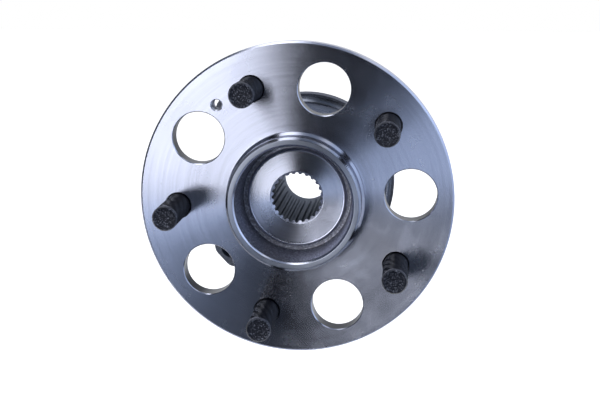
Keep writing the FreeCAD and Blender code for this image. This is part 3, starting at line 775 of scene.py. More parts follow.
def pick_points(piece: Piece, wanted: Callable[[Vector], bool]) -> None:
    """Select the vertices that a test wants, and nothing else.

    Args:
        piece: The piece, in object mode.
        wanted: The test of a vertex's place.
    """
    mesh = piece.data
    for face in mesh.polygons:
        face.select = False
    for line in mesh.edges:
        line.select = False
    for corner in mesh.vertices:
        corner.select = wanted(corner.co)


def at_one_of(places: Sequence[Vector]) -> Callable[[Vector], bool]:
    """A test of whether a point is at one of some places."""
    return lambda point: any((point - place).length < SAME_PLACE for place in places)


def draw_line(name: str, points: Sequence[Vector], closed: bool) -> Piece:
    """Draw a line by extruding one vertex from point to point.

    Args:
        name: The new piece's name.
        points: The line's points, in metres.
        closed: Whether the last point is joined to the first.

    Returns:
        The new piece.
    """
    bpy.ops.object.select_all(action="DESELECT")
    bpy.ops.mesh.primitive_plane_add(size=MM, location=(0, 0, 0))
    piece = bpy.context.object
    piece.name = piece.data.name = name
    bpy.ops.object.mode_set(mode="EDIT")
    bpy.ops.mesh.select_mode(type="VERT")
    bpy.ops.mesh.select_all(action="SELECT")
    bpy.ops.mesh.merge(type="CENTER")
    bpy.ops.transform.translate(value=points[0])
    for start, end in zip(points, points[1:]):
        bpy.ops.mesh.extrude_vertices_move(TRANSFORM_OT_translate={"value": end - start})
    leave_edit()
    if closed:
        pick_points(piece, at_one_of((points[0], points[-1])))
        edit(piece)
        bpy.ops.mesh.edge_face_add()
        leave_edit()
    return piece


def blend_corners(piece: Piece, corners: Iterable[tuple[Vector, float, int]]) -> None:
    """Round or chamfer corners of a drawn line.

    Args:
        piece: The line.
        corners: Each corner's place in metres, its blend in millimetres and its number of steps.
    """
    groups: dict[tuple[float, int], list[Vector]] = {}
    for place, blend, steps in corners:
        if blend:
            groups.setdefault((blend, steps), []).append(place)
    for (blend, steps), places in groups.items():
        pick_points(piece, at_one_of(places))
        edit(piece)
        bpy.ops.mesh.select_mode(type="VERT")
        bpy.ops.mesh.bevel(offset=blend * MM, segments=steps, affect="VERTICES", clamp_overlap=True)
        leave_edit()


def tidy_shell(piece: Piece) -> None:
    """Merge doubled points and point every face outwards.

    Args:
        piece: The piece.
    """
    edit(piece)
    bpy.ops.mesh.select_all(action="SELECT")
    bpy.ops.mesh.remove_doubles(threshold=SAME_PLACE)
    bpy.ops.mesh.normals_make_consistent(inside=False)
    bpy.ops.mesh.select_all(action="DESELECT")
    leave_edit()


def lathe(
    name: str,
    corners: Sequence[Corner],
    steps: int,
    closed: bool = True,
    centre: tuple[float, float] = (0.0, 0.0),
    cuts: tuple[int, ...] = (),
) -> Piece:
    """Turn a profile about an axis along Y.

    Args:
        name: The new piece's name.
        corners: The profile's corners.
        steps: How many faces go round.
        closed: Whether the profile is closed, which it isn't where it starts and ends on the axis.
        centre: The axis's place in X and Z, in millimetres.
        cuts: A corner's number, and how many times the edge that leaves it is cut in each round.

    Returns:
        The turned piece.
    """
    shift = Vector((centre[0], 0.0, centre[1])) * MM
    points = [corner.point() + shift for corner in corners]
    piece = draw_line(name, points, closed)
    if cuts:
        pick_points(piece, at_one_of(points[cuts[0] : cuts[0] + 2]))
        edit(piece)
        bpy.ops.mesh.select_mode(type="VERT")
        bpy.ops.mesh.select_mode(type="EDGE")
        for number in cuts[1:]:
            bpy.ops.mesh.subdivide(number_cuts=number)
        leave_edit()
    blend_corners(piece, ((point, c.blend, c.round_steps) for point, c in zip(points, corners)))
    edit(piece)
    bpy.ops.mesh.select_all(action="SELECT")
    bpy.ops.mesh.spin(
        steps=steps, angle=TURN, center=shift, axis=(0, 1, 0), use_auto_merge=True, dupli=False
    )
    leave_edit()
    tidy_shell(piece)
    return piece


def finish_by_profile(
    piece: Piece,
    corners: Sequence[Corner],
    shelf: FinishShelf,
    centre: tuple[float, float] = (0.0, 0.0),
) -> None:
    """Give each face of a turned piece the finish of the profile's edge that it came from.

    Args:
        piece: The turned piece.
        corners: Its profile.
        shelf: The finishes.
        centre: The axis's place in X and Z, in millimetres.
    """
    used = list(dict.fromkeys(corner.finish for corner in corners))
    shelf.dress(piece, used)
    lines = [
        (start.point(), end.point(), used.index(start.finish))
        for start, end in zip(corners, [*corners[1:], corners[0]])
    ]
    known: dict[tuple[int, int], int] = {}
    for face in piece.data.polygons:
        across, depth, up = face.center
        spot = Vector((math.hypot(across - centre[0] * MM, up - centre[1] * MM), depth, 0.0))
        key = (round(spot.x / SAME_SPOT), round(spot.y / SAME_SPOT))
        if key not in known:
            known[key] = min(lines, key=lambda line: distance_to_line(spot, line[0], line[1]))[2]
        face.material_index = known[key]


def distance_to_line(spot: Vector, start: Vector, end: Vector) -> float:
    """How far a point is from a straight edge.

    Args:
        spot: The point.
        start: The edge's start.
        end: The edge's end.

    Returns:
        The distance.
    """
    along = end - start
    share = max(0.0, min(1.0, (spot - start).dot(along) / max(along.length_squared, 1e-12)))
    return (spot - start - along * share).length


def add_modifier(piece: Piece, kind: str, **settings: object) -> None:
    """Add a modifier and apply it at once.

    Args:
        piece: The piece.
        kind: The modifier's type name.
        settings: Its properties.
    """
    select_only(piece)
    modifier = piece.modifiers.new(kind.lower(), kind)
    for key, setting in settings.items():
        setattr(modifier, key, setting)
    bpy.ops.object.modifier_apply(modifier=modifier.name)


def scrap(piece: Piece) -> None:
    """Delete a tool piece and its mesh.

    Args:
        piece: The tool piece.
    """
    mesh = piece.data
    bpy.data.objects.remove(piece)
    bpy.data.meshes.remove(mesh)


def combine(piece: Piece, other: Piece, operation: str) -> None:
    """Combine a piece with another solid, whose finishes its faces keep.

    Args:
        piece: The piece.
        other: The other solid, which is then deleted.
        operation: The operation's name.
    """
    settings = {"operation": operation, "solver": "EXACT", "material_mode": "TRANSFER"}
    add_modifier(piece, "BOOLEAN", object=other, **settings)
    scrap(other)


def cut(piece: Piece, tool: Piece) -> None:
    """Cut a tool's shape out of a piece; the cut faces take the tool's finish."""
    combine(piece, tool, "DIFFERENCE")


def join(piece: Piece, other: Piece) -> None:
    """Melt another solid into a piece."""
    combine(piece, other, "UNION")


def copies_round(piece: Piece, count: int) -> None:
    """Repeat a whole mesh evenly round the Y axis, in the same piece.

    Args:
        piece: The piece, which becomes the whole ring of copies.
        count: How many there are in the end.
    """
    edit(piece)
    bpy.ops.mesh.select_all(action="SELECT")
    bpy.ops.mesh.spin(
        steps=count, angle=TURN, center=(0, 0, 0), axis=(0, 1, 0), dupli=True, use_auto_merge=False
    )
    leave_edit()
    tidy_shell(piece)


def smooth(piece: Piece, angle: float = 30.0) -> None:
    """Shade a piece smooth, with its sharp edges kept and its large flat faces truly flat.

    Args:
        piece: The piece.
        angle: Edges that turn by more than this, in degrees, stay sharp.
    """
    select_only(piece)
    bpy.ops.object.shade_smooth_by_angle(angle=math.radians(angle))
    add_modifier(piece, "WEIGHTED_NORMAL", keep_sharp=True, weight=LARGE_FACES_FIRST)


def on_circle(radius: float, angle: float) -> tuple[float, float]:
    """A point of a circle about the hub's axis.

    Args:
        radius: The circle's radius in millimetres.
        angle: The angle from +X towards +Z, in degrees.

    Returns:
        X and Z in millimetres.
    """
    turned = math.radians(angle)
    return radius * math.cos(turned), radius * math.sin(turned)


@dataclass(frozen=True)
class Thread:
    """A screw thread in millimetres, with the slope of its flanks and the flat of its crests."""

    pitch: float
    height: float
    start: float
    end: float
    run_out: float
    slope: float = 1.6
    crest: float = 0.3
    wall_band: float = 0.02

    def wind(self, piece: Piece, radius: float, centre: tuple[float, float]) -> None:
        """Sink the thread's groove into the smooth wall of a turned piece.

        Args:
            piece: The piece, whose wall is cut into fine rings.
            radius: The wall's radius in millimetres, at the thread's crests.
            centre: The wall's axis in X and Z, in millimetres.
        """
        middle = Vector((centre[0], 0.0, centre[1])) * MM
        for point in piece.data.vertices:
            arm = Vector((point.co.x - middle.x, 0.0, point.co.z - middle.z))
            depth = point.co.y / MM
            on_wall = abs(arm.length / MM - radius) <= self.wall_band
            if not (on_wall and self.start < depth < self.end):
                continue
            turn = math.atan2(arm.z, arm.x) / TURN
            phase = (depth / self.pitch + turn) % 1.0
            groove = min(1.0, max(0.0, self.slope * (1 - abs(2 * phase - 1)) - self.crest))
            fade = min(1.0, (depth - self.start) / self.run_out, (self.end - depth) / self.run_out)
            arm *= 1 - self.height * groove * max(fade, 0.0) / radius
            point.co = Vector((middle.x + arm.x, point.co.y, middle.z + arm.z))


# Raceways


@dataclass(frozen=True)
class Raceways:
    """The grooves that the two rows of balls run in, worked out from the balls, in millimetres."""

    pitch_radius: float = 31.5
    ball_diameter: float = 12.7
    conformity: float = 0.52
    clearance: float = 0.08
    contact_angle: float = 35.0
    outboard_row: float = 27.0
    inboard_row: float = 51.0
    shoulder_radius: float = 28.3
    low_radius: float = 25.3
    land_radius: float = 34.9
    relief_radius: float = 37.6
    steps: int = 8

    @property
    def groove_radius(self) -> float:
        """Radius of a groove's cross section."""
        return self.conformity * self.ball_diameter

    def shift(self, way: Callable[[float], float]) -> float:
        """A groove centre's offset from the ball's, along (sine) or across (cosine) the axis."""
        reach = self.groove_radius - self.ball_diameter / 2 - self.clearance
        return reach * way(math.radians(self.contact_angle))

    def arc(
        self, circle: float, middle: float, start: float, end: float, way: int
    ) -> list[Corner]:
        """Points along a groove.

        Args:
            circle: Radius of the circle of groove centres.
            middle: Depth of the groove's centre.
            start: Radius at which the groove starts.
            end: Radius at which it ends, on the other side of its centre.
            way: 1 where it runs inboard, and -1 where it runs outboard.

        Returns:
            The corners, with both ends.
        """
        first = math.atan2(-way * self.reach(circle, start), start - circle)
        last = math.atan2(way * self.reach(circle, end), end - circle)
        sweep = (last - first + math.pi) % TURN - math.pi
        return [
            Corner(
                circle + self.groove_radius * math.cos(first + sweep * step / self.steps),
                middle + self.groove_radius * math.sin(first + sweep * step / self.steps),
                Finish.GROUND_SEAT,
            )
            for step in range(self.steps + 1)
        ]

    def reach(self, circle: float, radius: float) -> float:
        """Half a groove's width along the axis, at a radius."""
        return math.sqrt(self.groove_radius**2 - (circle - radius) ** 2)

    def inner_outboard(self) -> list[Corner]:
        """The hub's own groove, from its low side to its shoulder.

        Returns:
            The corners in order.
        """
        circle = self.pitch_radius + self.shift(math.cos)
        middle = self.outboard_row + self.shift(math.sin)
        return self.arc(circle, middle, self.low_radius, self.shoulder_radius, -1)

    def outer_outboard(self) -> list[Corner]:
        """The outer ring's outboard groove, from its relief to the land.

        Returns:
            The corners in order.
        """
        circle = self.pitch_radius - self.shift(math.cos)
        middle = self.outboard_row - self.shift(math.sin)
        return self.arc(circle, middle, self.relief_radius, self.land_radius, 1)

    def outer_inboard(self) -> list[Corner]:
        """The outer ring's inboard groove, from the land to its relief.

        Returns:
            The corners in order.
        """
        circle = self.pitch_radius - self.shift(math.cos)
        middle = self.inboard_row + self.shift(math.sin)
        return self.arc(circle, middle, self.land_radius, self.relief_radius, 1)


# Hub


@dataclass
class HubFlange:
    """The forged hub: wheel flange, pilot, recess with the nut boss, splined bore and spigot.

    A pair is a width across the axis and a length along it. The boss's bead has three widths, from
    the boss's side in to the bead's outer foot, its crest and its inner foot.
    """

    shelf: FinishShelf
    raceways: Raceways
    steps: int = 240
    flange_radius: float = 75.5
    flange_thickness: float = 9.0
    rim_chamfer: float = 1.0
    rim_chamfer_length: float = 0.7
    back_chamfer: float = 0.8
    pilot_radius: float = 32.0
    pilot_height: float = 12.0
    pilot_lead: tuple[float, float] = (1.2, 0.9)
    rotor_step: tuple[float, float] = (1.3, 3.4)
    rotor_step_chamfer: float = 1.3
    recess_radius: float = 27.7
    recess_chamfer: float = 1.0
    recess_draft: float = 1.3
    recess_fillet: float = 0.5
    boss_radius: float = 24.0
    boss_depth: float = 6.2
    boss_height: float = 2.2
    boss_foot_fillet: float = 0.4
    boss_side_end: float = 0.7
    boss_bead: tuple[float, float, float] = (0.7, 1.0, 1.4)
    boss_bead_height: float = 0.2
    mouth_radius: float = 13.05
    mouth_length: float = 1.0
    root_radius: float = 37.0
    root_slope: float = 4.0
    root_height: float = 1.8
    seal_land_radius: float = 30.5
    seal_land_end: float = 19.4
    seal_land_fillet: float = 3.0
    spigot_radius: float = 20.0
    spigot_start: float = 40.0
    formed_radius: float = 24.2
    formed_length: float = 4.5
    formed_round: float = 2.4
    end_mouth: tuple[float, float] = (1.2, 1.1)
    end_depth: float = 68.5
    stud_circle: float = 57.15
    stud_angle: float = 39.7
    stud_count: int = 5
    stud_hole_radius: float = 6.25
    stud_hole_chamfer: float = 0.3
    access_circle: float = 55.0
    access_radius: float = 12.5
    access_chamfer: float = 0.4
    screw_circle: float = 58.9
    screw_angle: float = 129.7
    screw_radius: float = 2.9
    screw_countersink: float = 0.2
    screw_overrun: float = 0.4
    screw_thread: Thread = Thread(pitch=1.0, height=0.5, start=0.0, end=9.6, run_out=0.4)
    screw_cuts: tuple[int, ...] = (2, 73)
    screw_steps: int = 28
    hole_steps: int = 72
    cutter_overrun: float = 1.0
    spline_teeth: int = 24
    spline_minor: float = 11.55
    spline_major: float = 12.4
    spline_end: float = 57.5
    spline_module: float = 1.0
    spline_pressure: float = 30.0
    flank_steps: int = 4
    broach_start: float = 5.0
    broach_margin: float = 0.5

    def stud_angles(self) -> list[float]:
        """The studs' angles from +X towards +Z, in degrees."""
        step = 360 / self.stud_count
        return [self.stud_angle + step * number for number in range(self.stud_count)]

    def profile(self) -> list[Corner]:
        """Half section of the hub, from the bore's mouth at the boss round to the boss face.

        Returns:
            The corners in order.
        """
        return (
            self.spigot_profile()
            + self.raceways.inner_outboard()
            + self.land_profile()
            + self.pilot_profile()
            + self.recess_profile()
        )

    def spigot_profile(self) -> list[Corner]:
        """The bore, the formed end and the inner ring's seat, up to the raceway.

        Returns:
            The corners in order.
        """
        formed = Finish.FORMED_END
        seat = Finish.GROUND_SEAT
        widened, chamfer = self.end_mouth
        lip = self.end_depth - self.formed_length
        return [
            Corner(self.mouth_radius, self.boss_depth, Finish.CHAMFER, 0.12, 2),
            Corner(self.spline_minor, self.boss_depth + self.mouth_length, Finish.BORE),
            Corner(self.spline_minor, self.spline_end, Finish.BORE),
            Corner(self.spline_major, self.spline_end, Finish.BORE),
            Corner(self.spline_major, self.end_depth - chamfer, formed),
            Corner(self.spline_major + widened, self.end_depth, formed, 0.25, 3),
            Corner(self.formed_radius, self.end_depth, formed, self.formed_round, 8),
            Corner(self.formed_radius, lip, seat),
            Corner(self.spigot_radius, lip, seat),
            Corner(self.spigot_radius, self.spigot_start, seat),
            Corner(self.raceways.low_radius, self.spigot_start, seat),
        ]

    def land_profile(self) -> list[Corner]:
        """The seal's land, the root behind the flange, and the flange's rim.

        Returns:
            The corners in order.
        """
        seat = Finish.GROUND_SEAT
        rim = self.flange_radius
        back = self.flange_thickness
        root = back + self.root_height
        return [
            Corner(self.raceways.shoulder_radius, self.seal_land_end, seat, 0.3, 2),
            Corner(self.seal_land_radius, self.seal_land_end, seat, 0.3, 2),
            Corner(self.seal_land_radius, root, seat, self.seal_land_fillet, 8),
            Corner(self.root_radius, root, Finish.FLANGE_BACK, 0.3, 2),
            Corner(self.root_radius + self.root_slope, back, Finish.FLANGE_BACK, 1.2, 4),
            Corner(rim, back, Finish.FLANGE_RIM, self.back_chamfer, 1),
            Corner(rim, self.rim_chamfer_length, Finish.CHAMFER, 0.1, 1),
            Corner(rim - self.rim_chamfer, 0.0, Finish.FLANGE_FACE, 0.1, 1),
        ]

    def pilot_profile(self) -> list[Corner]:
        """The step that centres the brake rotor, and the pilot that centres the wheel.

        Returns:
            The corners in order.
        """
        wall = Finish.PILOT_WALL
        pilot = self.pilot_radius
        top = -self.pilot_height
        step_width, step_height = self.rotor_step
        lead_width, lead_length = self.pilot_lead
        mouth = self.recess_radius + self.recess_chamfer
        return [
            Corner(pilot + step_width, 0.0, wall, 0.25, 2),
            Corner(
                pilot + step_width, self.rotor_step_chamfer - step_height, Finish.PILOT_STEP, 0.1, 2
            ),
            Corner(pilot, -step_height, wall, 0.1, 2),
            Corner(pilot, top + lead_length, wall, 0.2, 2),
            Corner(pilot - lead_width, top, Finish.PILOT_RIM, 0.2, 2),
            Corner(mouth, top, Finish.PILOT_CHAMFER, 0.2, 2),
            Corner(self.recess_radius, top + self.recess_chamfer, Finish.RECESS_WALL, 0.4, 3),
        ]

    def recess_profile(self) -> list[Corner]:
        """The forged recess, and the boss in it with a fine bead round its face.

        Returns:
            The corners in order.
        """
        edge = Finish.BOSS_EDGE
        boss = self.boss_radius
        face = self.boss_depth
        floor = face + self.boss_height
        outer, crest, inner = self.boss_bead
        foot = self.recess_radius - self.recess_draft
        return [
            Corner(foot, floor, Finish.RECESS_WALL, self.recess_fillet, 4),
            Corner(boss, floor, edge, self.boss_foot_fillet, 3),
            Corner(boss, face + self.boss_side_end, edge, 0.2, 2),
            Corner(boss - outer, face - self.boss_bead_height / 2, edge, 0.1, 2),
            Corner(boss - crest, face - self.boss_bead_height, Finish.CHAMFER),
            Corner(boss - inner, face, Finish.BOSS_FACE),
        ]

    def drill(
        self, piece: Piece, radius: float, chamfer: float, centre: tuple[float, float]
    ) -> None:
        """Drill one chamfered hole through the flange.

        Args:
            piece: The hub.
            radius: The hole's radius.
            chamfer: Its chamfer at both faces.
            centre: Its place in X and Z.
        """
        wall = Finish.HOLE_WALL
        edge = Finish.CHAMFER
        wide = radius + chamfer + self.cutter_overrun
        front = -self.cutter_overrun
        back = self.flange_thickness + self.cutter_overrun
        profile = [
            Corner(0.0, front, edge),
            Corner(wide, front, edge),
            Corner(radius, chamfer, wall),
            Corner(radius, self.flange_thickness - chamfer, edge),
            Corner(wide, back, edge),
            Corner(0.0, back, edge),
        ]
        tool = lathe("hole_cutter", profile, self.hole_steps, closed=False, centre=centre)
        finish_by_profile(tool, profile, self.shelf, centre)
        cut(piece, tool)

    def tap_screw_hole(self, piece: Piece) -> None:
        """Cut the tapped hole for the rotor screw.

        Args:
            piece: The hub.
        """
        centre = on_circle(self.screw_circle, self.screw_angle)
        wall = Finish.SCREW_HOLE
        front = -self.cutter_overrun
        wide = self.screw_radius + self.cutter_overrun + self.screw_countersink
        through = self.flange_thickness + self.screw_overrun
        profile = [
            Corner(0.0, front, wall),
            Corner(wide, front, wall),
            Corner(self.screw_radius, self.screw_countersink, wall),
            Corner(self.screw_radius, through, wall),
            Corner(0.0, through, wall),
        ]
        cuts = self.screw_cuts
        tool = lathe("tap", profile, self.screw_steps, closed=False, centre=centre, cuts=cuts)
        self.screw_thread.wind(tool, self.screw_radius, centre)
        self.shelf.dress(tool, [wall])
        cut(piece, tool)

    def broach(self, piece: Piece) -> None:
        """Cut the spaces of the spline.

        Args:
            piece: The hub.
        """
        pressure = math.radians(self.spline_pressure)
        base = self.spline_module * self.spline_teeth / 2 * math.cos(pressure)

        def half_space(radius: float) -> float:
            """Half the angle of a space.

            Args:
                radius: The radius at which it is measured, in millimetres.

            Returns:
                The angle in radians.
            """
            roll = math.acos(base / radius)
            gain = (math.tan(pressure) - pressure) - (math.tan(roll) - roll)
            return math.radians(90 / self.spline_teeth) + gain

        rise = (self.spline_major - self.spline_minor) / self.flank_steps
        flank = [self.spline_minor + rise * step for step in range(self.flank_steps + 1)]
        right = [
            Vector((radius * math.cos(spread), self.broach_start, radius * math.sin(spread))) * MM
            for radius in [self.spline_minor - self.broach_margin, *flank]
            for spread in [half_space(max(radius, self.spline_minor))]
        ]
        left = [Vector((point.x, point.y, -point.z)) for point in reversed(right)]
        tool = draw_line("broach_tooth", right + left, closed=True)
        edit(tool)
        bpy.ops.mesh.select_all(action="SELECT")
        bpy.ops.mesh.edge_face_add()
        depth = (self.spline_end + self.cutter_overrun - self.broach_start) * MM
        bpy.ops.mesh.extrude_region_move(TRANSFORM_OT_translate={"value": (0, depth, 0)})
        leave_edit()
        copies_round(tool, self.spline_teeth)
        self.shelf.dress(tool, [Finish.BORE])
        cut(piece, tool)

    def build(self) -> Piece:
        """Model the hub and dress it.

        Returns:
            The finished piece.
        """
        corners = self.profile()
        piece = lathe("hub_forging", corners, self.steps)
        finish_by_profile(piece, corners, self.shelf)
        half_step = 180 / self.stud_count
        for angle in self.stud_angles():
            stud = on_circle(self.stud_circle, angle)
            self.drill(piece, self.stud_hole_radius, self.stud_hole_chamfer, stud)
            access = on_circle(self.access_circle, angle - half_step)
            self.drill(piece, self.access_radius, self.access_chamfer, access)
        self.tap_screw_hole(piece)
        self.broach(piece)
        smooth(piece)
        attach(piece, "hub")
        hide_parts("hub_flange")
        LOG.info("hub forging: %d faces", len(piece.data.polygons))
        return piece


@dataclass
class WheelStuds:
    """Pressed M12 studs with rolled threads, cupped tips and round heads.

    The tip's chamfer is a width across the stud and a length along it. The thread is sunk into an
    edge of the profile, given by its number, which is first cut this many times in each round.
    """

    shelf: FinishShelf
    hub: HubFlange
    length: float = 30.5
    dish_radius: float = 4.1
    dish_mouth: float = 4.7
    dish_depth: float = 0.7
    dish_rise: float = 0.15
    tip_chamfer: tuple[float, float] = (0.6, 0.8)
    shoulder_depth: float = 1.2
    threaded_end: float = -0.35
    head_radius: float = 8.8
    head_height: float = 3.2
    head_round: float = 1.0
    thread_radius: float = 5.9
    thread: Thread = Thread(pitch=1.5, height=0.75, start=-29.2, end=-1.6, run_out=1.4)
    thread_cuts: tuple[int, ...] = (4, 15, 9)
    steps: int = 48
    smooth_angle: float = 35.0

    def profile(self) -> list[Corner]:
        """Half section of a stud, from its cupped tip to its head.

        Returns:
            The corners, from axis to axis.
        """
        black = Finish.STUD
        cut_end = Finish.STUD_TIP
        tip = -self.length
        stem = self.thread_radius
        shoulder = self.hub.stud_hole_radius
        chamfer_width, chamfer_length = self.tip_chamfer
        head = self.hub.flange_thickness
        head_end = head + self.head_height
        return [
            Corner(0.0, tip + self.dish_depth, cut_end),
            Corner(self.dish_radius, tip + self.dish_depth - self.dish_rise, cut_end, 0.3, 2),
            Corner(self.dish_mouth, tip, cut_end, 0.15, 2),
            Corner(stem - chamfer_width, tip, cut_end, 0.1, 2),
            Corner(stem, tip + chamfer_length, black),
            Corner(stem, self.threaded_end, black),
            Corner(stem, self.shoulder_depth, black),
            Corner(shoulder, self.shoulder_depth, black, 0.12, 2),
            Corner(shoulder, head, black),
            Corner(self.head_radius, head, black, 0.2, 2),
            Corner(self.head_radius, head_end, black, self.head_round, 5),
            Corner(0.0, head_end, black),
        ]

    def build(self) -> list[Piece]:
        """Model one stud, then copy it to its places.

        Returns:
            The studs.
        """
        profile = self.profile()
        pattern = lathe("stud_pattern", profile, self.steps, closed=False, cuts=self.thread_cuts)
        finish_by_profile(pattern, profile, self.shelf)
        self.thread.wind(pattern, self.thread_radius, (0.0, 0.0))
        smooth(pattern, self.smooth_angle)
        studs = []
        for number, angle in enumerate(self.hub.stud_angles()):
            across, up = on_circle(self.hub.stud_circle, angle)
            mesh = pattern.data.copy()
            mesh.transform(Matrix.Translation(Vector((across, 0.0, up)) * MM))
            stud = bpy.data.objects.new(f"threaded_stud_{number + 1}", mesh)
            bpy.context.scene.collection.objects.link(stud)
            mesh.name = stud.name
            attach(stud, "hub")
            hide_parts(f"wheel_stud_{number + 1}")
            studs.append(stud)
        scrap(pattern)
        LOG.info("wheel studs: %d of %d faces", len(studs), len(studs[0].data.polygons))
        return studs


# Outer ring


@dataclass
class OuterRing:
    """The fixed ring: turned body and pilot, and a forged knuckle flange with tapped ears.

    The collar's two radii, at its back and front, lie inside the flange that it carries.
    """

    shelf: FinishShelf
    raceways: Raceways
    steps: int = 192
    body_radius: float = 41.8
    body_front: float = 16.0
    body_chamfer: float = 1.0
    body_fillet: float = 3.0
    seat_radius: float = 38.4
    seat_chamfer: float = 0.5
    front_seat_end: float = 20.2
    back_seat_start: float = 58.2
    pilot_radius: float = 41.5
    pilot_end: float = 66.0
    pilot_lead: float = 1.2
    flange_radius: float = 46.1
    flange_front: float = 49.5
    flange_thickness: float = 11.0
    flange_chamfer: float = 0.7
    collar: tuple[float, float] = (44.0, 44.8)
    plate_bore: float = 40.0
    ear_count: int = 4
    ear_angle: float = 42.5
    ear_end: float = 61.3
    ear_half_width: float = 8.25
    ear_shift: float = 1.2
    ear_root: float = 12.5
    ear_fillet: float = 3.0
    ear_round: float = 4.6
    arc_steps: int = 14
    bolt_circle: float = 54.0
    bolt_radius: float = 5.8
    bolt_thread: Thread = Thread(pitch=1.5, height=0.75, start=48.0, end=62.0, run_out=0.5)
    tap_cuts: tuple[int, ...] = (2, 59)
    tap_steps: int = 36
    tap_overrun: float = 1.5
    bore_overrun: float = 2.5

    def flange_back(self) -> float:
        """Depth of the knuckle flange's face towards the knuckle."""
        return self.flange_front + self.flange_thickness

    def body_profile(self) -> list[Corner]:
        """Half section of the turned ring without its flange.

        Returns:
            The corners in order.
        """
        body = Finish.RING_BODY
        seat = Finish.GROUND_SEAT
        relief = self.raceways.relief_radius
        collar_back, collar_front = self.collar
        seats_out = [
            Corner(self.seat_radius, self.body_front, seat, self.seat_chamfer, 1),
            Corner(self.seat_radius, self.front_seat_end, seat),
            Corner(relief, self.front_seat_end, seat),
        ]
        seats_in = [
            Corner(relief, self.back_seat_start, seat),
            Corner(self.seat_radius, self.back_seat_start, seat),
            Corner(self.seat_radius, self.pilot_end, body, self.seat_chamfer, 1),
        ]
        outside = [
            Corner(self.pilot_radius, self.pilot_end, body, self.pilot_lead, 1),
            Corner(self.pilot_radius, self.flange_back(), body),
            Corner(collar_back, self.flange_back(), body),
            Corner(collar_front, self.flange_front, body),
            Corner(self.body_radius, self.flange_front, body, self.body_fillet, 8),
            Corner(self.body_radius, self.body_front, body, self.body_chamfer, 2),
        ]
        races = self.raceways.outer_outboard() + self.raceways.outer_inboard()
        return seats_out + races + seats_in + outside

    def flange_outline(self) -> list[tuple[Vector, float, int]]:
        """A quarter of the knuckle flange's outline, with one ear.

        Returns:
            Places in the plane of the flange's front, with each one's blend and steps.
        """
        side = self.ear_half_width
        root = math.sqrt(self.flange_radius**2 - self.ear_root**2)
        corners: list[tuple[float, float, float, int]] = [
            (root, -self.ear_root, self.ear_fillet, 5),
            (self.ear_end, self.ear_shift - side, self.ear_round, 6),
            (self.ear_end, self.ear_shift + side, self.ear_round, 6),
            (root, self.ear_root, self.ear_fillet, 5),
        ]
        start = math.atan2(self.ear_root, root)
        between = TURN / self.ear_count - 2 * start
        for step in range(1, self.arc_steps):
            turn = start + between * step / self.arc_steps
            out, across = self.flange_radius * math.cos(turn), self.flange_radius * math.sin(turn)
            corners.append((out, across, 0.0, 1))
        spin = math.radians(self.ear_angle)
        placed = []
        for out, across, blend, steps in corners:
            x = out * math.cos(spin) - across * math.sin(spin)
            z = out * math.sin(spin) + across * math.cos(spin)
            placed.append((Vector((x, self.flange_front, z)) * MM, blend, steps))
        return placed

    def flange_plate(self) -> Piece:
        """Model the flange and its ears as one plate with a broken edge.

        Returns:
            The plate.
        """
        quarter = self.flange_outline()
        outline: list[tuple[Vector, float, int]] = []
        for number in range(self.ear_count):
            turn = Matrix.Rotation(-TURN / self.ear_count * number, 4, "Y")
            outline += [(turn @ place, blend, steps) for place, blend, steps in quarter]
        plate = draw_line("knuckle_flange", [place for place, _, _ in outline], closed=True)
        blend_corners(plate, outline)
        edit(plate)
        bpy.ops.mesh.select_all(action="SELECT")
        bpy.ops.mesh.edge_face_add()
        bpy.ops.mesh.extrude_region_move(
            TRANSFORM_OT_translate={"value": (0, self.flange_thickness * MM, 0)}
        )
        leave_edit()
        tidy_shell(plate)
        faces = (self.flange_front * MM, self.flange_back() * MM)
        mesh = plate.data
        for line in mesh.edges:
            depths = [mesh.vertices[index].co.y for index in line.vertices]
            line.select = any(
                all(abs(depth - face) < SAME_PLACE for depth in depths) for face in faces
            )
        edit(plate)
        bpy.ops.mesh.select_mode(type="EDGE")
        bpy.ops.mesh.bevel(
            offset=self.flange_chamfer * MM, segments=2, affect="EDGES", clamp_overlap=True
        )
        leave_edit()
        self.shelf.dress(plate, [Finish.RING_FLANGE])
        body = Finish.RING_BODY
        start = self.flange_front - self.bore_overrun
        end = self.flange_back() + self.bore_overrun
        hole = [
            Corner(0.0, start, body),
            Corner(self.plate_bore, start, body),
            Corner(self.plate_bore, end, body),
            Corner(0.0, end, body),
        ]
        tool = lathe("flange_bore_cutter", hole, self.steps, closed=False)
        self.shelf.dress(tool, [body])
        cut(plate, tool)
        return plate

    def tap_ear(self, piece: Piece, angle: float) -> None:
        """Cut one tapped hole for a knuckle bolt.

        Args:
            piece: The ring.
            angle: The hole's angle in degrees.
        """
        centre = on_circle(self.bolt_circle, angle)
        wall = Finish.TAPPED_EAR
        wide = self.bolt_radius + self.tap_overrun
        front = self.flange_front - self.tap_overrun
        back = self.flange_back() + self.tap_overrun
        profile = [
            Corner(0.0, front, wall),
            Corner(wide, front, wall),
            Corner(self.bolt_radius, self.flange_front, wall),
            Corner(self.bolt_radius, self.flange_back(), wall),
            Corner(wide, back, wall),
            Corner(0.0, back, wall),
        ]
        cuts = self.tap_cuts
        tool = lathe("ear_tap", profile, self.tap_steps, closed=False, centre=centre, cuts=cuts)
        self.bolt_thread.wind(tool, self.bolt_radius, centre)
        self.shelf.dress(tool, [wall])
        cut(piece, tool)

    def build(self) -> Piece:
        """Model the ring and dress it.

        Returns:
            The finished piece.
        """
        corners = self.body_profile()
        piece = lathe("outer_ring_forging", corners, self.steps)
        finish_by_profile(piece, corners, self.shelf)
        join(piece, self.flange_plate())
        for number in range(self.ear_count):
            self.tap_ear(piece, self.ear_angle + 360 / self.ear_count * number)
        smooth(piece)
        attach(piece, "outer_ring")
        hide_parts("outer_ring")
        LOG.info("outer ring: %d faces", len(piece.data.polygons))
        return piece


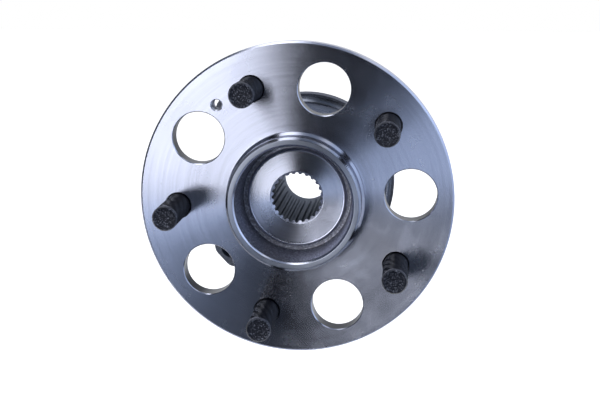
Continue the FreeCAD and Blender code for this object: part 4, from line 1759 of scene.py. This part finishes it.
@dataclass
class RollingSet:
    """The pieces between the hub and the ring that keep their own solids and get finer finishes."""

    shelf: FinishShelf
    nodes: dict[str, Piece]
    finishes: dict[str, Finish] = field(
        default_factory=lambda: {
            "ball": Finish.BALL,
            "cage": Finish.CAGE,
            "inner_ring": Finish.BEARING,
            "seal_case": Finish.SEAL_SHEET,
            "seal_lips": Finish.SEAL_RUBBER,
            "slinger": Finish.SEAL_SHEET,
            "encoder_ring": Finish.ENCODER,
        }
    )

    def dress(self) -> None:
        """Give each of these solids its finish."""
        for name, node in self.nodes.items():
            for start, finish in self.finishes.items():
                if name.startswith(start):
                    self.shelf.dress(node, [finish])
                    LOG.info("%s: %s", name, finish.name.lower())


# Studio


@dataclass(frozen=True)
class Sector:
    """A direction round the dome: its angle in degrees, how bright it is and its colour."""

    angle: float
    strength: float
    colour: Colour = (0.66, 0.79, 1.03)


WHITE_BOX = (0.93, 0.955, 1.0)


@dataclass
class Studio:
    """Camera, pale floor, white surround, and a soft dome of light on the camera's side.

    The dome is dark above and below, bright on the left and dimmer on the right. Its sectors fan
    out from the direction in which a flat face mirrors the camera. Tilts are angles in degrees from
    that direction: the fans begin past the axis gap, fade over the fade tilts and give way to the
    side sectors over the side tilts. Lengths are in metres.
    """

    camera_place: tuple[float, float, float] = (0.054302, -0.511413, 0.103700)
    yaw: float = -5.816
    pitch: float = -11.383
    lens: float = 65.852
    floor_height: float = -0.2
    floor_size: float = 6.0
    world_light: float = 0.35
    floor_glow: float = 0.8
    dome_radius: float = 2.6
    dome_power: float = 4.0
    dome_back: float = 0.8
    axis_gap: tuple[float, float] = (7.0, 14.0)
    fade_tilts: tuple[float, float] = (20.0, 42.0)
    fade: float = 0.35
    side_tilts: tuple[float, float] = (45.0, 62.0)
    side_sectors: tuple[Sector, ...] = (
        Sector(0, 0.24),
        Sector(30, 0.36),
        Sector(55, 0.24),
        Sector(62, 0.3, WHITE_BOX),
        Sector(70, 0.1),
        Sector(88, 0.08),
        Sector(95, 0.73, WHITE_BOX),
        Sector(107, 0.73, WHITE_BOX),
        Sector(114, 0.03),
        Sector(210, 0.02),
        Sector(250, 0.06),
        Sector(300, 0.08),
        Sector(340, 0.16),
    )
    sectors: tuple[Sector, ...] = (
        Sector(0, 0.08),
        Sector(8, 0.36),
        Sector(30, 0.38),
        Sector(42, 0.12),
        Sector(52, 0.0),
        Sector(91, 0.0),
        Sector(98, 0.35, WHITE_BOX),
        Sector(108, 0.8, WHITE_BOX),
        Sector(120, 1.0, WHITE_BOX),
        Sector(165, 1.0, WHITE_BOX),
        Sector(176, 0.85, WHITE_BOX),
        Sector(190, 0.56),
        Sector(205, 0.18),
        Sector(225, 0.09),
        Sector(265, 0.0),
        Sector(300, 0.02),
        Sector(345, 0.02),
    )

    def set_camera(self) -> None:
        """Place the camera where the photograph was taken from."""
        yaw, pitch = math.radians(self.yaw), math.radians(self.pitch)
        ahead = Vector(
            (math.sin(yaw) * math.cos(pitch), math.cos(yaw) * math.cos(pitch), math.sin(pitch))
        )
        data = bpy.data.cameras.new("camera")
        data.sensor_width = 36.0
        data.lens = self.lens
        data.clip_start, data.clip_end = 0.01, 50.0
        camera = bpy.data.objects.new("camera", data)
        camera.location = self.camera_place
        camera.rotation_mode = "QUATERNION"
        camera.rotation_quaternion = ahead.to_track_quat("-Z", "Y")
        bpy.context.scene.collection.objects.link(camera)
        bpy.context.scene.camera = camera

    def white_share(self, tree: bpy.types.NodeTree) -> Socket:
        """A socket that is 1 for rays from the camera, a gloss or a glass, and 0 for the rest.

        Args:
            tree: The node tree that gets the nodes.

        Returns:
            The socket.
        """
        path = tree.nodes.new("ShaderNodeLightPath")
        total = path.outputs["Is Camera Ray"]
        for name in ("Is Glossy Ray", "Is Transmission Ray"):
            node = tree.nodes.new("ShaderNodeMath")
            node.operation = "MAXIMUM"
            tree.links.new(total, node.inputs[0])
            tree.links.new(path.outputs[name], node.inputs[1])
            total = node.outputs[0]
        return total

    def set_world(self) -> None:
        """Surround the bearing with white, which lights it only softly."""
        world = bpy.data.worlds.new("white_surround")
        bpy.context.scene.world = world
        world.use_nodes = True
        tree = world.node_tree
        ground = tree.nodes["Background"]
        ground.inputs["Color"].default_value = (1.0, 1.0, 1.0, 1.0)
        node = tree.nodes.new("ShaderNodeMapRange")
        tree.links.new(self.white_share(tree), node.inputs["Value"])
        node.inputs["To Min"].default_value = self.world_light
        node.inputs["To Max"].default_value = 1.0
        tree.links.new(node.outputs["Result"], ground.inputs["Strength"])

    def set_floor(self) -> None:
        """Lay a pale floor below and behind the bearing."""
        bpy.ops.object.select_all(action="DESELECT")
        centre = (0, self.floor_size / 2, self.floor_height)
        bpy.ops.mesh.primitive_plane_add(size=self.floor_size, location=centre)
        floor = bpy.context.object
        floor.name = "floor"
        material = bpy.data.materials.new("pale_floor")
        material.use_nodes = True
        tree = material.node_tree
        shader = tree.nodes["Principled BSDF"]
        shader.inputs["Base Color"].default_value = (0.9, 0.9, 0.9, 1.0)
        shader.inputs["Roughness"].default_value = 0.8
        shader.inputs["Specular IOR Level"].default_value = 0.0
        shader.inputs["Emission Color"].default_value = (1.0, 1.0, 1.0, 1.0)
        node = tree.nodes.new("ShaderNodeMapRange")
        tree.links.new(self.white_share(tree), node.inputs["Value"])
        node.inputs["To Min"].default_value = 0.0
        node.inputs["To Max"].default_value = self.floor_glow
        tree.links.new(node.outputs["Result"], shader.inputs["Emission Strength"])
        floor.data.materials.append(material)

    def sector_ramp(self, bench: NodeBench, share: Socket, sectors: Sequence[Sector]) -> Socket:
        """Light that changes from sector to sector.

        Args:
            bench: The dome's material bench.
            share: How much of a turn the direction is from +X towards +Z.
            sectors: The sectors in order.

        Returns:
            The light's colour socket.
        """
        ramp = bench.add("ShaderNodeValToRGB")
        stops = ramp.color_ramp.elements
        stops.remove(stops[1])
        first = sectors[0]
        for number, sector in enumerate([*sectors, Sector(360, first.strength, first.colour)]):
            stop = stops[0] if number == 0 else stops.new(sector.angle / 360)
            stop.position = sector.angle / 360
            stop.color = (*(channel * sector.strength for channel in sector.colour), 1.0)
        bench.link(share, ramp.inputs["Fac"])
        return ramp.outputs["Color"]

    def from_mirror_axis(self, bench: NodeBench) -> list[Socket]:
        """Where the dome lies from the direction in which a flat face mirrors the camera.

        Args:
            bench: The dome's material bench.

        Returns:
            The share of a turn from +X towards +Z, the distance from that direction and the depth.
        """
        _, (across, depth, up) = bench.place()
        right, back, height = self.camera_place
        sides = [
            bench.math("ADD", way, bench.math("MULTIPLY", depth, slope))
            for way, slope in ((across, right / back), (up, height / back))
        ]
        angle = bench.math("ARCTAN2", sides[1], sides[0])
        share = bench.math("FRACT", bench.math("ADD", bench.math("DIVIDE", angle, TURN), 1.0))
        squares = [bench.math("MULTIPLY", side, side) for side in sides]
        return [share, bench.math("SQRT", bench.math("ADD", *squares)), depth]

    def by_tilt(
        self,
        bench: NodeBench,
        from_axis: Socket,
        tilts: tuple[float, float],
        low: float,
        high: float,
    ) -> Socket:
        """A number that changes between two tilts.

        Args:
            bench: The dome's material bench.
            from_axis: The distance from the direction that tilts are counted from.
            tilts: The tilts in degrees.
            low: The number up to the first tilt.
            high: The number from the second tilt on.

        Returns:
            The number's socket.
        """
        start, end = (self.dome_radius * math.sin(math.radians(tilt)) for tilt in tilts)
        return bench.spread(from_axis, start, end, low, high)

    def dome_finish(self) -> bpy.types.Material:
        """The dome's light, brighter in some sectors.

        Returns:
            The material.
        """
        bench = NodeBench("dome_light")
        share, from_axis, depth = self.from_mirror_axis(bench)
        past_gap = self.by_tilt(bench, from_axis, self.axis_gap, 0.0, 1.0)
        fading = self.by_tilt(bench, from_axis, self.fade_tilts, 1.0, self.fade)
        fans = self.sector_ramp(bench, share, self.sectors)
        fans = bench.mix(bench.math("MULTIPLY", past_gap, fading), (0.0, 0.0, 0.0), fans)
        near, far = (-self.dome_radius * math.cos(math.radians(tilt)) for tilt in self.side_tilts)
        sideways = self.sector_ramp(bench, share, self.side_sectors)
        light = bench.mix(bench.spread(depth, near, far, 0.0, 1.0), fans, sideways)
        glow = bench.add("ShaderNodeEmission")
        bench.link(light, glow.inputs["Color"])
        glow.inputs["Strength"].default_value = self.dome_power
        bench.link(glow.outputs["Emission"], bench.output.inputs["Surface"])
        return bench.material

    def set_dome(self) -> None:
        """Hang the dome on the camera's side, which the camera itself doesn't see."""
        bpy.ops.object.select_all(action="DESELECT")
        bpy.ops.mesh.primitive_uv_sphere_add(
            segments=64, ring_count=32, radius=self.dome_radius, location=(0, 0, 0)
        )
        dome = bpy.context.object
        dome.name = "light_dome"
        bpy.ops.object.mode_set(mode="EDIT")
        bpy.ops.mesh.select_all(action="SELECT")
        bpy.ops.mesh.bisect(
            plane_co=(0, self.dome_back, 0), plane_no=(0, 1, 0), clear_outer=True, clear_inner=False
        )
        leave_edit()
        dome.data.materials.append(self.dome_finish())
        dome.visible_camera = False

    def build(self) -> None:
        """Set the whole studio up."""
        for name in ("Cube", "Light", "Camera"):
            if name in bpy.data.objects:
                bpy.data.objects.remove(bpy.data.objects[name])
        bpy.context.scene.view_settings.view_transform = "Standard"
        self.set_camera()
        self.set_world()
        self.set_floor()
        self.set_dome()
        LOG.info("studio: dome with %d sectors", len(self.sectors))


def main() -> None:
    """Load the frame, build and dress the bearing, and set the studio up."""
    logging.basicConfig(level=logging.INFO, format="%(name)s: %(message)s")
    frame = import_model()
    studio = Studio()
    studio.build()
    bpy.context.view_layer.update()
    shelf = FinishShelf()
    raceways = Raceways()
    hub = HubFlange(shelf, raceways)
    hub.build()
    WheelStuds(shelf, hub).build()
    OuterRing(shelf, raceways).build()
    RollingSet(shelf, frame["nodes"]).dress()


if __name__ == "__main__":
    main()
